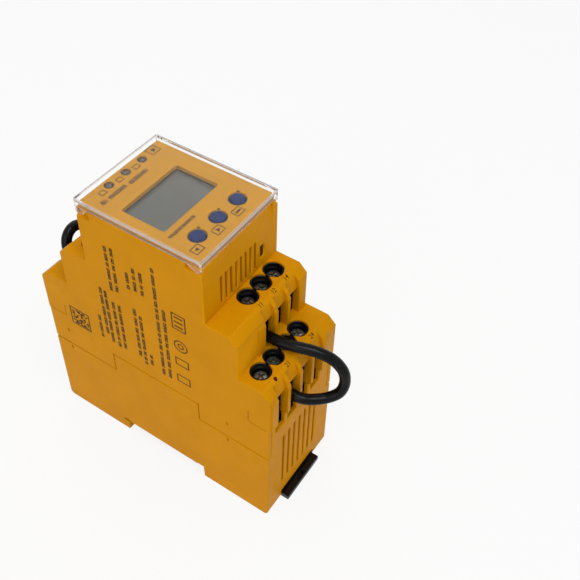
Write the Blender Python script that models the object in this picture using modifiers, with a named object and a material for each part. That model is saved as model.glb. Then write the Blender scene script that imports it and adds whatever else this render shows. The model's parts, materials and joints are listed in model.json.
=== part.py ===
"""Two-module digital relay for a 35 mm mounting rail, as an assembly of its separate pieces.

The relay lies on its back: X runs along the rail, Y along the housing's length and +Z out of its
front face. The origin is the middle of the rail seat, the face that rests on the rail's front.
The output terminals are at the -Y end and the supply terminals at the +Y end, which is the same
end turned half round. Every length is in metres, written through mm().
"""

import math

import bmesh
import bpy
from mathutils import Matrix, Vector


def mm(value):
    """Turn millimetres into metres."""
    return value * 0.001


# Housing
BODY_WIDTH = mm(36.0)
FRONT_LENGTH = mm(44.5)
UPPER_TIER_DEPTH = mm(11.55)
LOWER_TIER_DEPTH = mm(11.2)
BASE_DECK_Z = mm(61.0)
END_RECESS = mm(0.8)
MIDDLE_STEP = mm(16.5)
FRONT_STEP = mm(21.2)
WALL = mm(1.6)
SLOT_WALL = mm(2.8)
CHAMFER_RUN = mm(2.8)
CHAMFER_DROP = mm(2.8)
GAP = mm(0.3)

# Joint between the base and the upper housing
SEAM_Z = mm(28.1)
SEAM_RAISE = mm(8.1)
SEAM_RAISED_HALF = mm(17.3)
TONGUE_RISE = mm(14.5)

# Rail seat, fixed hook and base floor
RAIL_RECESS = mm(5.0)
RAIL_WIDTH = mm(35.0)
RAIL_PLAY = mm(0.6)
RAIL_LIP_GAP = mm(1.3)
HOOK_REACH = mm(2.2)
SEAT_MARGIN = mm(0.6)
SEAT_RELIEF = mm(0.4)
FLOOR_THICKNESS = mm(3.2)

# Rail clip and its spring
CLIP_HALF_WIDTH = mm(9.5)
CLIP_FOOT_THICKNESS = mm(1.8)
CLIP_FOOT_REACH = mm(2.8)
CLIP_NOSE_REACH = mm(2.0)
CLIP_NOSE_LENGTH = mm(4.5)
CLIP_TRAVEL = mm(3.5)
CLIP_WING = mm(1.5)
CLIP_WING_THICKNESS = mm(1.4)
CLIP_WING_LENGTH = mm(14.0)
CLIP_WING_INSET = mm(5.0)
CLIP_LUG_HALF = mm(2.6)
CLIP_LUG_THICKNESS = mm(1.8)
CLIP_LUG_INSET = mm(16.0)
CLIP_PRY_WIDTH = mm(3.4)
CLIP_PRY_DEPTH = mm(1.2)
SPRING_ROOM = mm(8.0)
SPRING_RADIUS = mm(1.0)
SPRING_WIRE = mm(0.22)
SPRING_TURNS = 5
SPRING_POINTS = 8

# Terminals
POLE_PITCH = mm(6.5)
LOWER_POLES = 4
UPPER_POLES = 3
LOWER_FIRST_X = -mm(11.6)
UPPER_FIRST_X = -mm(2.1)
WELL_INSET = mm(8.1)
WELL_RADIUS = mm(3.35)
COLLAR_RADIUS = mm(3.05)
COLLAR_BORE = mm(2.75)
COLLAR_SINK = mm(0.3)
SLOT_WIDTH = mm(5.0)
SLOT_TOP_DROP = mm(6.2)
SLOT_FLOOR_DROP = mm(23.0)
POST_REACH = mm(0.5)
POST_END_WIDTH = mm(3.1)
POST_FRONT_DROP = mm(4.8)
POST_BACK_DROP = mm(3.0)
LINTEL_SETBACK = mm(1.1)
LINTEL_SLOPE = mm(1.6)
HEAD_DROP = mm(2.6)
HEAD_RADIUS = mm(2.3)
HEAD_HEIGHT = mm(1.9)
HEAD_SLOT_WIDTH = mm(0.8)
HEAD_SLOT_DEPTH = mm(0.9)
SHELF_THICKNESS = mm(1.0)
THREAD_RADIUS = mm(1.5)
CAGE_TOP = mm(1.6)
CAGE_BOTTOM = mm(1.2)
CAGE_SIDE = mm(0.6)
CAGE_HALF_WIDTH = mm(2.7)
CAGE_HALF_DEPTH = mm(2.5)
CAGE_TRAVEL = mm(1.5)
CONTACT_THICKNESS = mm(1.0)
CONTACT_HALF_WIDTH = mm(1.7)
WIRE_DROP = mm(13.2)
PIN_RADIUS = mm(1.1)
ENTRY_WIDTH = mm(3.9)
CARRIER_WALL = mm(0.8)
CARRIER_FACE = mm(1.0)
APRON_OVERLAP = mm(0.6)

# Vents
END_VENTS = 7
END_VENT_PITCH = mm(3.05)
END_VENT_WIDTH = mm(1.2)
END_VENT_LENGTH = mm(27.0)
END_VENT_SILL = mm(0.7)
FRONT_VENTS = 8
FRONT_VENT_PITCH = mm(2.28)
FRONT_VENT_WIDTH = mm(1.0)
FRONT_VENT_LENGTH = mm(10.9)
FRONT_VENT_SILL = mm(1.4)
FRONT_VENT_FIRST_X = -mm(9.5)
LATCH_WIDTH = mm(1.9)
LATCH_HEIGHT = mm(4.8)
LATCH_INSET = mm(7.9)
LATCH_SILL = mm(3.8)
PRY_WIDTH = mm(2.1)
PRY_INSET = mm(3.55)
PRY_DEPTH = mm(1.0)
PRY_HEIGHT = mm(6.6)

# Front panel and what shows through it
PANEL_INSET = mm(1.0)
RIM_LEDGE = mm(0.25)
PANEL_THICKNESS = mm(1.3)
LEG_WIDTH = mm(2.0)
LEG_THICKNESS = mm(1.0)
LEG_LENGTH = mm(5.0)
LEG_X = mm(4.3)
WINDOW_X = -mm(1.15)
WINDOW_Y = mm(1.3)
WINDOW_WIDTH = mm(24.3)
WINDOW_HEIGHT = mm(15.4)
LCD_MARGIN = mm(1.6)
LAMP_PITCH = mm(7.15)
LAMP_INSET = mm(3.45)
LAMP_RADIUS = mm(1.25)
LAMP_SINK = mm(0.15)
KEY_PITCH = mm(9.15)
KEY_INSET = mm(7.85)
KEY_RADIUS = mm(2.45)
KEY_PROUD = mm(0.3)
KEY_FLANGE = mm(0.8)
KEY_FLANGE_THICKNESS = mm(0.9)
KEY_STEM_RADIUS = mm(1.3)
KEY_STEM_LENGTH = mm(0.8)
KEY_TRAVEL = mm(0.5)
SWITCH_WIDTH = mm(6.0)
SWITCH_BUTTON_RADIUS = mm(1.7)
SWITCH_BUTTON_HEIGHT = mm(1.0)

# Clear cover
COVER_THICKNESS = mm(1.2)
COVER_CLEARANCE = mm(0.6)
COVER_WALL = mm(0.7)
EAR_LENGTH = mm(3.5)
EAR_BACK = mm(1.0)
EAR_DROP = mm(2.4)
TAB_LENGTH = mm(5.2)
TAB_DROP = mm(1.8)
HINGE_INSET = mm(1.2)
HINGE_DROP = mm(1.1)
HINGE_PIN_RADIUS = mm(0.5)
HINGE_PIN_LENGTH = mm(0.7)

# Boards and components
BOARD_THICKNESS = mm(1.6)
BOARD_X = mm(9.0)
DISPLAY_BOARD_DROP = mm(7.0)
RELAY_LENGTH = mm(29.0)
RELAY_WIDTH = mm(12.5)
RELAY_HEIGHT = mm(15.7)
RELAY_FIRST_Z = mm(6.0)
RELAY_PITCH = mm(18.0)
RELAY_SETBACK = mm(16.5)
CORE_LENGTH = mm(24.0)
CORE_HEIGHT = mm(20.0)
CORE_THICKNESS = mm(8.0)
COIL_LENGTH = mm(15.0)
COIL_THICKNESS = mm(14.0)
CORE_Y = mm(16.0)
CORE_Z = mm(18.0)
CAPACITOR_RADIUS = mm(6.0)
CAPACITOR_LENGTH = mm(15.0)
CAPACITOR_Y = mm(12.0)
CAPACITOR_Z = mm(40.0)
HEADER_LENGTH = mm(12.0)
HEADER_THICKNESS = mm(3.0)
HEADER_Z = mm(62.0)

# Link wires
WIRE_RADIUS = mm(1.75)
WIRE_TAPER = mm(1.2)
OUTPUT_LINK_ROUTE = [
    (-2.0, -37.0, 64.5), (-1.2, -41.5, 64.7), (0.9, -47.0, 64.2), (2.8, -52.0, 62.2),
    (3.9, -55.4, 58.2), (4.0, -56.6, 53.2), (2.7, -55.8, 49.0), (0.1, -53.0, 47.0),
    (-2.8, -49.6, 46.8), (-4.7, -46.6, 47.4),
]
SUPPLY_LINK_ROUTE = [
    (-10.8, 36.9, 65.0), (-10.4, 38.7, 67.0), (-9.2, 39.6, 70.0), (-7.0, 39.9, 71.7),
    (-4.4, 39.9, 71.8), (-2.0, 39.5, 70.4), (0.2, 38.8, 67.9), (1.7, 37.6, 65.6),
]

ROUND_SIDES = 20
SMALL_SIDES = 12

# Places that follow from the sizes
HALF_WIDTH = BODY_WIDTH / 2
BACK_Z = -RAIL_RECESS
MIDDLE_DECK_Z = BASE_DECK_Z + MIDDLE_STEP
RIM_Z = MIDDLE_DECK_Z + FRONT_STEP
PANEL_BOTTOM_Z = RIM_Z + GAP
PANEL_TOP_Z = PANEL_BOTTOM_Z + PANEL_THICKNESS
COVER_BOTTOM_Z = PANEL_TOP_Z + COVER_CLEARANCE
COVER_TOP_Z = COVER_BOTTOM_Z + COVER_THICKNESS
FLOOR_Z = FLOOR_THICKNESS
RAISED_SEAM_Z = SEAM_Z + SEAM_RAISE
TONGUE_TOP_Z = SEAM_Z + TONGUE_RISE
INNER_HALF = HALF_WIDTH - WALL
FRONT_HALF = FRONT_LENGTH / 2
MIDDLE_HALF = FRONT_HALF + UPPER_TIER_DEPTH
BASE_HALF = MIDDLE_HALF + LOWER_TIER_DEPTH
END_WALL_HALF = BASE_HALF - END_RECESS
GROOVE_HALF = (RAIL_WIDTH + RAIL_PLAY) / 2
DISPLAY_BOARD_TOP_Z = RIM_Z - DISPLAY_BOARD_DROP
DISPLAY_BOARD_BOTTOM_Z = DISPLAY_BOARD_TOP_Z - BOARD_THICKNESS
LAMP_Y = FRONT_HALF - LAMP_INSET
KEY_Y = KEY_INSET - FRONT_HALF
LATCH_X = HALF_WIDTH - LATCH_INSET
PRY_X = HALF_WIDTH - PRY_INSET
RELAY_Y = -RELAY_SETBACK
HINGE_Y = FRONT_HALF - HINGE_INSET
HINGE_Z = RIM_Z - HINGE_DROP
CARRIER_DROP = WIRE_DROP + PIN_RADIUS + GAP + CAGE_BOTTOM + CAGE_TRAVEL + GAP + CARRIER_WALL
COLUMN_SINK = WALL + GAP
ENDS = (("output", 0.0), ("supply", math.pi))


# ---------------------------------------------------------------- scene, finishes and solids

def clear_scene():
    """Remove every object and mesh that the scene holds."""
    for item in list(bpy.data.objects):
        bpy.data.objects.remove(item, do_unlink=True)
    for mesh in list(bpy.data.meshes):
        bpy.data.meshes.remove(mesh)


def new_collection(name):
    """Make a collection under the scene's own."""
    group = bpy.data.collections.new(name)
    bpy.context.scene.collection.children.link(group)
    return group


def finish(name, colour, roughness, metallic=0.0, transmission=0.0):
    """Make a Principled material."""
    material = bpy.data.materials.new(name)
    material.use_nodes = True
    shader = material.node_tree.nodes["Principled BSDF"]
    shader.inputs["Base Color"].default_value = (*colour, 1.0)
    shader.inputs["Roughness"].default_value = roughness
    shader.inputs["Metallic"].default_value = metallic
    shader.inputs["Transmission Weight"].default_value = transmission
    return material


clear_scene()
PARTS = new_collection("rail_relay")
CUTTERS = new_collection("cutters")

YELLOW = finish("yellow_housing", (0.72, 0.31, 0.012), 0.45)
BLACK = finish("black_polyamide", (0.012, 0.012, 0.013), 0.5)
CLEAR = finish("clear_polycarbonate", (0.95, 0.96, 0.95), 0.05, transmission=1.0)
BLUE = finish("blue_key", (0.05, 0.075, 0.26), 0.4)
LCD_GREY = finish("lcd_grey", (0.2, 0.21, 0.17), 0.2)
LAMP_GREY = finish("lamp_grey", (0.16, 0.15, 0.14), 0.3)
ZINC = finish("zinc_plated_steel", (0.55, 0.54, 0.5), 0.35, metallic=1.0)
SPRING_STEEL = finish("spring_steel", (0.5, 0.5, 0.5), 0.3, metallic=1.0)
BOARD_GREEN = finish("board_green", (0.03, 0.16, 0.06), 0.5)
SWITCH_BLACK = finish("switch_black", (0.02, 0.02, 0.02), 0.4)
RELAY_BODY = finish("relay_body", (0.03, 0.09, 0.28), 0.45)
CORE_IRON = finish("core_iron", (0.1, 0.1, 0.1), 0.6, metallic=0.6)
CAPACITOR_SLEEVE = finish("capacitor_sleeve", (0.02, 0.03, 0.07), 0.35)
WIRE_BLACK = finish("wire_black", (0.012, 0.012, 0.014), 0.4)


def add_object(name, mesh, material=None, group=None):
    """Link a mesh as a new object, with its material."""
    item = bpy.data.objects.new(name, mesh)
    (group or PARTS).objects.link(item)
    if material is not None:
        mesh.materials.append(material)
    return item


def as_cutter(item):
    """Move an object to the cutters, shown as wire and not rendered."""
    for group in list(item.users_collection):
        group.objects.unlink(item)
    CUTTERS.objects.link(item)
    item.hide_render = True
    item.display_type = "WIRE"
    return item


def block(name, low, high, material=None):
    """Make a box between two corners, with its origin at the world's."""
    low, high = Vector(low), Vector(high)
    shape = bmesh.new()
    bmesh.ops.create_cube(shape, size=1.0)
    bmesh.ops.scale(shape, vec=high - low, verts=shape.verts)
    bmesh.ops.translate(shape, vec=(low + high) / 2, verts=shape.verts)
    mesh = bpy.data.meshes.new(name)
    shape.to_mesh(mesh)
    shape.free()
    return add_object(name, mesh, material)


def rod(name, start, end, radius, sides=ROUND_SIDES, material=None):
    """Make a capped cylinder between two points."""
    start, end = Vector(start), Vector(end)
    axis = end - start
    turn = axis.to_track_quat("Z", "Y").to_matrix().to_4x4()
    shape = bmesh.new()
    bmesh.ops.create_cone(
        shape, cap_ends=True, segments=sides, radius1=radius, radius2=radius, depth=axis.length,
        matrix=Matrix.Translation((start + end) / 2) @ turn)
    mesh = bpy.data.meshes.new(name)
    shape.to_mesh(mesh)
    shape.free()
    return add_object(name, mesh, material)


def outline_solid(name, points, low_x, high_x, material=None):
    """Extrude a (y, z) outline along X, from low_x to high_x."""
    curve = bpy.data.curves.new(name + "_outline", "CURVE")
    curve.dimensions = "2D"
    curve.fill_mode = "BOTH"
    curve.extrude = (high_x - low_x) / 2
    spline = curve.splines.new("POLY")
    spline.points.add(len(points) - 1)
    for point, (y, z) in zip(spline.points, points):
        point.co = (y, z, 0.0, 1.0)
    spline.use_cyclic_u = True
    guide = bpy.data.objects.new(name + "_outline", curve)
    PARTS.objects.link(guide)
    guide.matrix_world = (Matrix.Translation(((low_x + high_x) / 2, 0.0, 0.0))
                          @ Matrix(((0, 0, 1, 0), (1, 0, 0, 0), (0, 1, 0, 0), (0, 0, 0, 1))))
    return mesh_from_curve(name, guide, material)


def mesh_from_curve(name, guide, material=None):
    """Turn a curve object into a mesh object with welded caps, and remove the curve."""
    bpy.context.view_layer.update()
    evaluated = guide.evaluated_get(bpy.context.evaluated_depsgraph_get())
    mesh = bpy.data.meshes.new_from_object(evaluated)
    mesh.name = name
    mesh.materials.clear()
    mesh.shade_flat()
    shape = bmesh.new()
    shape.from_mesh(mesh)
    bmesh.ops.remove_doubles(shape, verts=shape.verts, dist=mm(0.005))
    bmesh.ops.recalc_face_normals(shape, faces=shape.faces)
    shape.to_mesh(mesh)
    shape.free()
    item = add_object(name, mesh, material)
    item.matrix_world = guide.matrix_world.copy()
    bpy.data.objects.remove(guide, do_unlink=True)
    return item


def turned(name, profile, material=None, sides=SMALL_SIDES):
    """Turn an (r, z) profile about Z with a Screw modifier, from the top axis point to the lower."""
    shape = bmesh.new()
    corners = [shape.verts.new((radius, 0.0, z)) for radius, z in profile]
    for first, second in zip(corners, corners[1:]):
        shape.edges.new((first, second))
    mesh = bpy.data.meshes.new(name)
    shape.to_mesh(mesh)
    shape.free()
    item = add_object(name, mesh, material)
    screw = item.modifiers.new("turn", "SCREW")
    screw.angle = 2 * math.pi
    screw.steps = sides
    screw.render_steps = sides
    screw.use_merge_vertices = True
    screw.merge_threshold = mm(0.002)
    screw.use_normal_calculate = True
    screw.use_normal_flip = True
    return item


def change(item, other, operation):
    """Add an exact Boolean that cuts or joins another object, which becomes a cutter."""
    modifier = item.modifiers.new(other.name, "BOOLEAN")
    modifier.operation = operation
    modifier.solver = "EXACT"
    modifier.object = as_cutter(other)


def cut(item, other):
    """Cut another object out of this one."""
    change(item, other, "DIFFERENCE")


def join(item, other):
    """Join another object to this one."""
    change(item, other, "UNION")


def smooth(item):
    """Shade a round piece smooth, with its edges kept sharp."""
    item.data.shade_smooth()
    item.data.set_sharp_from_angle(angle=math.radians(35))


def end_empty(name, turn):
    """Make the empty that carries one terminal end, turned about Z."""
    empty = bpy.data.objects.new(name, None)
    PARTS.objects.link(empty)
    empty.rotation_euler = (0.0, 0.0, turn)
    return empty


def turned_copy(item, name):
    """Copy a cutter half round about Z."""
    copy = bpy.data.objects.new(name, item.data)
    PARTS.objects.link(copy)
    copy.matrix_world = Matrix.Rotation(math.pi, 4, "Z") @ item.matrix_world
    return copy


def cut_both_ends(item, tool):
    """Cut a tool at the output end, and its copy at the supply end."""
    copy = turned_copy(tool, tool.name + "_b")
    cut(item, tool)
    cut(item, copy)


# ---------------------------------------------------------------- terminal rows

class Row:
    """One row of screw terminals: its poles, its deck and the wall that its wires enter by."""

    def __init__(self, name, first_x, poles, wall_y, deck_z):
        self.name = name
        self.poles = [first_x + index * POLE_PITCH for index in range(poles)]
        self.wall_y = wall_y
        self.deck_z = deck_z
        self.well_y = wall_y + WELL_INSET
        self.inner_y = wall_y + SLOT_WALL
        self.wire_z = deck_z - WIRE_DROP


LOWER = Row("lower", LOWER_FIRST_X, LOWER_POLES, -BASE_HALF, BASE_DECK_Z)
UPPER = Row("upper", UPPER_FIRST_X, UPPER_POLES, -MIDDLE_HALF, MIDDLE_DECK_Z)
ROWS = (LOWER, UPPER)


def slot_floor(row):
    """Give the height of a wire slot's floor, which in the upper row is the lower deck."""
    return max(row.deck_z - SLOT_FLOOR_DROP, BASE_DECK_Z if row is UPPER else BACK_Z)


def slot_tool(row, x, name):
    """Make the cutter of one wire slot, open to the outside and above its lintel."""
    outside_y, inside_y = row.wall_y - POST_REACH, row.inner_y + GAP
    lintel_y = row.wall_y + LINTEL_SETBACK
    floor_z, roof_z = slot_floor(row), row.deck_z - SLOT_TOP_DROP
    points = [(outside_y, floor_z), (inside_y, floor_z), (inside_y, roof_z), (lintel_y, roof_z),
              (lintel_y + LINTEL_SLOPE, row.deck_z + GAP), (outside_y, row.deck_z + GAP)]
    return outline_solid(name, points, x - SLOT_WIDTH / 2, x + SLOT_WIDTH / 2)


def post_comb(row, low_z, name):
    """Make the slab that the wire slots cut into posts, with its sloped top."""
    back_y = row.wall_y + LINTEL_SETBACK
    points = [(row.wall_y, low_z), (row.wall_y, row.deck_z - POST_FRONT_DROP),
              (back_y, row.deck_z - POST_BACK_DROP), (back_y, low_z)]
    reach = SLOT_WIDTH / 2 + POST_END_WIDTH
    return outline_solid(name, points, row.poles[0] - reach, row.poles[-1] + reach)


# ---------------------------------------------------------------- housing

def build_base():
    """Base housing: floor with the rail groove and fixed hook, side walls and end tongues."""
    outline = [(-END_WALL_HALF, BACK_Z), (END_WALL_HALF, BACK_Z), (END_WALL_HALF, SEAM_Z),
               (SEAM_RAISED_HALF, SEAM_Z), (SEAM_RAISED_HALF, RAISED_SEAM_Z),
               (-SEAM_RAISED_HALF, RAISED_SEAM_Z), (-SEAM_RAISED_HALF, SEAM_Z),
               (-END_WALL_HALF, SEAM_Z)]
    base = outline_solid("base_housing", outline, -HALF_WIDTH, HALF_WIDTH, YELLOW)
    tongue_half = INNER_HALF - GAP
    for side in (-1, 1):
        inner, outer = side * (END_WALL_HALF - WALL), side * END_WALL_HALF
        join(base, block("tongue", (-tongue_half, min(inner, outer), SEAM_Z - WALL),
                         (tongue_half, max(inner, outer), TONGUE_TOP_Z)))
    cavity_half = END_WALL_HALF - WALL
    cut(base, block("base_cavity", (-INNER_HALF, -cavity_half, FLOOR_Z),
                    (INNER_HALF, cavity_half, RAISED_SEAM_Z + WALL)))
    past = HALF_WIDTH + WALL
    cut(base, block("rail_groove", (-past, -GROOVE_HALF, -RAIL_LIP_GAP), (past, GROOVE_HALF, 0.0)))
    seat_half = GROOVE_HALF - HOOK_REACH - SEAT_MARGIN
    for side in (-1, 1):
        low_y, high_y = sorted((side * seat_half, side * GROOVE_HALF))
        cut(base, block("seat_relief", (-past, low_y, -RAIL_LIP_GAP), (past, high_y, SEAT_RELIEF)))
    cut(base, block("rail_room", (-past, -GROOVE_HALF, BACK_Z - WALL),
                    (past, GROOVE_HALF - HOOK_REACH, -RAIL_LIP_GAP + GAP)))
    cut_clip_channel(base)
    for index in range(END_VENTS):
        x = (index - (END_VENTS - 1) / 2) * END_VENT_PITCH
        low_z = FLOOR_Z + END_VENT_SILL
        cut_both_ends(base, block(
            "end_vent_%d" % index,
            (x - END_VENT_WIDTH / 2, -END_WALL_HALF - WALL, low_z),
            (x + END_VENT_WIDTH / 2, -END_WALL_HALF + WALL + GAP, low_z + END_VENT_LENGTH)))
    for index, x in enumerate(LOWER.poles):
        cut_both_ends(base, slot_tool(LOWER, x, "base_slot_%d" % index))
    return base


def clip_sizes():
    """Give the rail clip's edges: its nose tip, body end, wing and lug."""
    tip_y = -GROOVE_HALF + CLIP_NOSE_REACH
    wing_in_y = -GROOVE_HALF - CLIP_WING_INSET
    lug_in_y = -GROOVE_HALF - CLIP_LUG_INSET
    return {
        "tip_y": tip_y,
        "nose_y": tip_y - CLIP_NOSE_LENGTH,
        "foot_y": -END_WALL_HALF - CLIP_FOOT_REACH,
        "foot_top": BACK_Z + CLIP_FOOT_THICKNESS,
        "nose_top": -RAIL_LIP_GAP,
        "wing_in_y": wing_in_y,
        "wing_out_y": wing_in_y - CLIP_WING_LENGTH,
        "wing_top": BACK_Z + CLIP_FOOT_THICKNESS + GAP + CLIP_WING_THICKNESS,
        "lug_in_y": lug_in_y,
        "lug_out_y": lug_in_y - CLIP_LUG_THICKNESS,
        "lug_top": FLOOR_Z - WALL,
    }


def cut_clip_channel(base):
    """Cut the clip's slideway, its wing grooves and the spring's pocket."""
    clip = clip_sizes()
    half = CLIP_HALF_WIDTH + GAP
    cut(base, block("clip_way", (-half, -BASE_HALF - WALL, BACK_Z - WALL),
                    (half, -GROOVE_HALF + GAP, clip["wing_top"] + GAP)))
    wing_half = half + CLIP_WING
    cut(base, block("clip_grooves",
                    (-wing_half, clip["wing_out_y"] - CLIP_TRAVEL - GAP, clip["foot_top"]),
                    (wing_half, clip["wing_in_y"] + GAP, clip["wing_top"] + GAP)))
    lug_half = CLIP_LUG_HALF + GAP
    cut(base, block("spring_pocket",
                    (-lug_half, clip["lug_out_y"] - SPRING_ROOM, clip["foot_top"] + GAP),
                    (lug_half, clip["lug_in_y"] + GAP, clip["lug_top"] + GAP)))


def build_clip():
    """Black rail clip: foot with a pry slot, wings in the base's grooves, spring lug and nose."""
    clip = clip_sizes()
    foot = block("rail_clip", (-CLIP_HALF_WIDTH, clip["foot_y"], BACK_Z),
                 (CLIP_HALF_WIDTH, clip["tip_y"] - CLIP_NOSE_REACH, clip["foot_top"]), BLACK)
    nose = [(clip["nose_y"], BACK_Z), (clip["tip_y"] - CLIP_NOSE_REACH, BACK_Z),
            (clip["tip_y"], clip["nose_top"] - CLIP_FOOT_THICKNESS / 2),
            (clip["tip_y"], clip["nose_top"]), (clip["nose_y"], clip["nose_top"])]
    join(foot, outline_solid("clip_nose", nose, -CLIP_HALF_WIDTH + GAP, CLIP_HALF_WIDTH - GAP))
    join(foot, block("clip_rib",
                     (-CLIP_HALF_WIDTH + GAP, clip["wing_out_y"], clip["foot_top"] - GAP),
                     (CLIP_HALF_WIDTH - GAP, clip["nose_y"] + GAP, clip["wing_top"])))
    wing_half = CLIP_HALF_WIDTH + CLIP_WING
    join(foot, block("clip_wings", (-wing_half, clip["wing_out_y"], clip["foot_top"] + GAP),
                     (wing_half, clip["wing_in_y"], clip["wing_top"])))
    join(foot, block("clip_lug", (-CLIP_LUG_HALF, clip["lug_out_y"], clip["wing_top"] - GAP),
                     (CLIP_LUG_HALF, clip["lug_in_y"], clip["lug_top"])))
    pry_y = -END_WALL_HALF - CLIP_FOOT_REACH / 2
    cut(foot, block("clip_pry",
                    (-CLIP_PRY_WIDTH / 2, pry_y - CLIP_PRY_DEPTH / 2, BACK_Z + GAP * 2),
                    (CLIP_PRY_WIDTH / 2, pry_y + CLIP_PRY_DEPTH / 2, clip["foot_top"] + WALL)))
    return foot


def build_clip_spring():
    """Compression spring between the clip's lug and the end of its pocket."""
    clip = clip_sizes()
    start_y = clip["lug_out_y"] - GAP - SPRING_WIRE
    end_y = clip["lug_out_y"] - SPRING_ROOM + GAP + SPRING_WIRE
    middle_z = (clip["wing_top"] + GAP + clip["lug_top"]) / 2
    count = SPRING_TURNS * SPRING_POINTS + 1
    points = []
    for index in range(count):
        share = index / (count - 1)
        angle = share * SPRING_TURNS * 2 * math.pi
        points.append((SPRING_RADIUS * math.cos(angle), start_y + share * (end_y - start_y),
                       middle_z + SPRING_RADIUS * math.sin(angle)))
    return tube("clip_spring", points, SPRING_WIRE, SPRING_STEEL, resolution=1)


def tube(name, points, radius, material, resolution=2, radii=None):
    """Make a capped round tube along a list of points."""
    curve = bpy.data.curves.new(name + "_path", "CURVE")
    curve.dimensions = "3D"
    curve.bevel_depth = radius
    curve.bevel_resolution = resolution
    curve.use_fill_caps = True
    spline = curve.splines.new("POLY")
    spline.points.add(len(points) - 1)
    for index, place in enumerate(points):
        spline.points[index].co = (*place, 1.0)
        if radii is not None:
            spline.points[index].radius = radii[index] / radius
    guide = bpy.data.objects.new(name + "_path", curve)
    PARTS.objects.link(guide)
    item = mesh_from_curve(name, guide, material)
    smooth(item)
    return item


def build_upper_housing():
    """Upper housing: the three-tier shell with terminal decks, wire slots, vents and top opening."""
    low_z = SEAM_Z + GAP
    end_z = TONGUE_TOP_Z + GAP
    lower_y, upper_y = BASE_HALF - POST_REACH, MIDDLE_HALF - POST_REACH
    right = [(lower_y, low_z), (lower_y, BASE_DECK_Z - CHAMFER_DROP), (lower_y - CHAMFER_RUN, BASE_DECK_Z),
             (upper_y, BASE_DECK_Z), (upper_y, MIDDLE_DECK_Z - CHAMFER_DROP),
             (upper_y - CHAMFER_RUN, MIDDLE_DECK_Z), (FRONT_HALF, MIDDLE_DECK_Z),
             (FRONT_HALF, RIM_Z)]
    outline = right + [(-y, z) for y, z in reversed(right)]
    shell = outline_solid("upper_housing", outline, -HALF_WIDTH, HALF_WIDTH, YELLOW)
    for row, comb_z in ((LOWER, end_z + GAP), (UPPER, BASE_DECK_Z - GAP)):
        comb = post_comb(row, comb_z, row.name + "_posts")
        turned_comb = turned_copy(comb, row.name + "_posts_b")
        join(shell, comb)
        join(shell, turned_comb)

    base_in, middle_in = BASE_HALF - SLOT_WALL, MIDDLE_HALF - SLOT_WALL
    front_in = FRONT_HALF - WALL
    inner_right = [(base_in, low_z - WALL), (base_in, BASE_DECK_Z - WALL),
                   (middle_in, BASE_DECK_Z - WALL), (middle_in, MIDDLE_DECK_Z - WALL),
                   (front_in, MIDDLE_DECK_Z - WALL), (front_in, RIM_Z - WALL)]
    inner = inner_right + [(-y, z) for y, z in reversed(inner_right)]
    cut(shell, outline_solid("shell_cavity", inner, -INNER_HALF, INNER_HALF))
    cut(shell, block("end_opening", (-INNER_HALF, -BASE_HALF - WALL, low_z - WALL),
                     (INNER_HALF, BASE_HALF + WALL, end_z)))
    cut_both_ends(shell, block("end_setback", (-HALF_WIDTH - WALL, -BASE_HALF, low_z - WALL),
                               (HALF_WIDTH + WALL, -END_WALL_HALF, end_z)))
    raised_half = SEAM_RAISED_HALF + GAP
    cut(shell, block("raised_seam", (-HALF_WIDTH - WALL, -raised_half, low_z - WALL),
                     (HALF_WIDTH + WALL, raised_half, RAISED_SEAM_Z + GAP)))
    open_x, open_y = INNER_HALF - PANEL_INSET, front_in - RIM_LEDGE
    cut(shell, block("top_opening", (-open_x, -open_y, RIM_Z - WALL * 2),
                     (open_x, open_y, RIM_Z + WALL)))
    cut_terminals(shell)
    cut_front_vents(shell)
    cut_pry_scoops(shell)
    cut_cover_seats(shell)
    return shell


def cut_terminals(shell):
    """Cut the screw wells and wire slots of both ends."""
    for row in ROWS:
        for index, x in enumerate(row.poles):
            cut_both_ends(shell, rod("%s_well_%d" % (row.name, index),
                                     (x, row.well_y, row.deck_z - WALL * 2),
                                     (x, row.well_y, row.deck_z + GAP), WELL_RADIUS))
            cut_both_ends(shell, slot_tool(row, x, "%s_slot_%d" % (row.name, index)))


def cut_front_vents(shell):
    """Cut the vents and the latch window of the front tier's two end walls."""
    outside_y, inside_y = -FRONT_HALF - WALL, -FRONT_HALF + WALL * 2
    for index in range(FRONT_VENTS):
        x = FRONT_VENT_FIRST_X + index * FRONT_VENT_PITCH
        low_z = MIDDLE_DECK_Z + FRONT_VENT_SILL
        cut_both_ends(shell, block(
            "front_vent_%d" % index, (x - FRONT_VENT_WIDTH / 2, outside_y, low_z),
            (x + FRONT_VENT_WIDTH / 2, inside_y, low_z + FRONT_VENT_LENGTH)))
    low_z = MIDDLE_DECK_Z + LATCH_SILL
    cut_both_ends(shell, block("latch_window", (LATCH_X - LATCH_WIDTH / 2, outside_y, low_z),
                               (LATCH_X + LATCH_WIDTH / 2, inside_y, low_z + LATCH_HEIGHT)))


def cut_pry_scoops(shell):
    """Cut the ramped scoops below the front rim, where a blade lifts the cover."""
    wall_y, top_z = -FRONT_HALF, RIM_Z + GAP
    points = [(wall_y - GAP, RIM_Z - PRY_HEIGHT), (wall_y, RIM_Z - PRY_HEIGHT),
              (wall_y + PRY_DEPTH, RIM_Z), (wall_y + PRY_DEPTH, top_z), (wall_y - GAP, top_z)]
    cut_both_ends(shell, outline_solid("pry_scoop", points, PRY_X - PRY_WIDTH / 2,
                                       PRY_X + PRY_WIDTH / 2))


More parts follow.
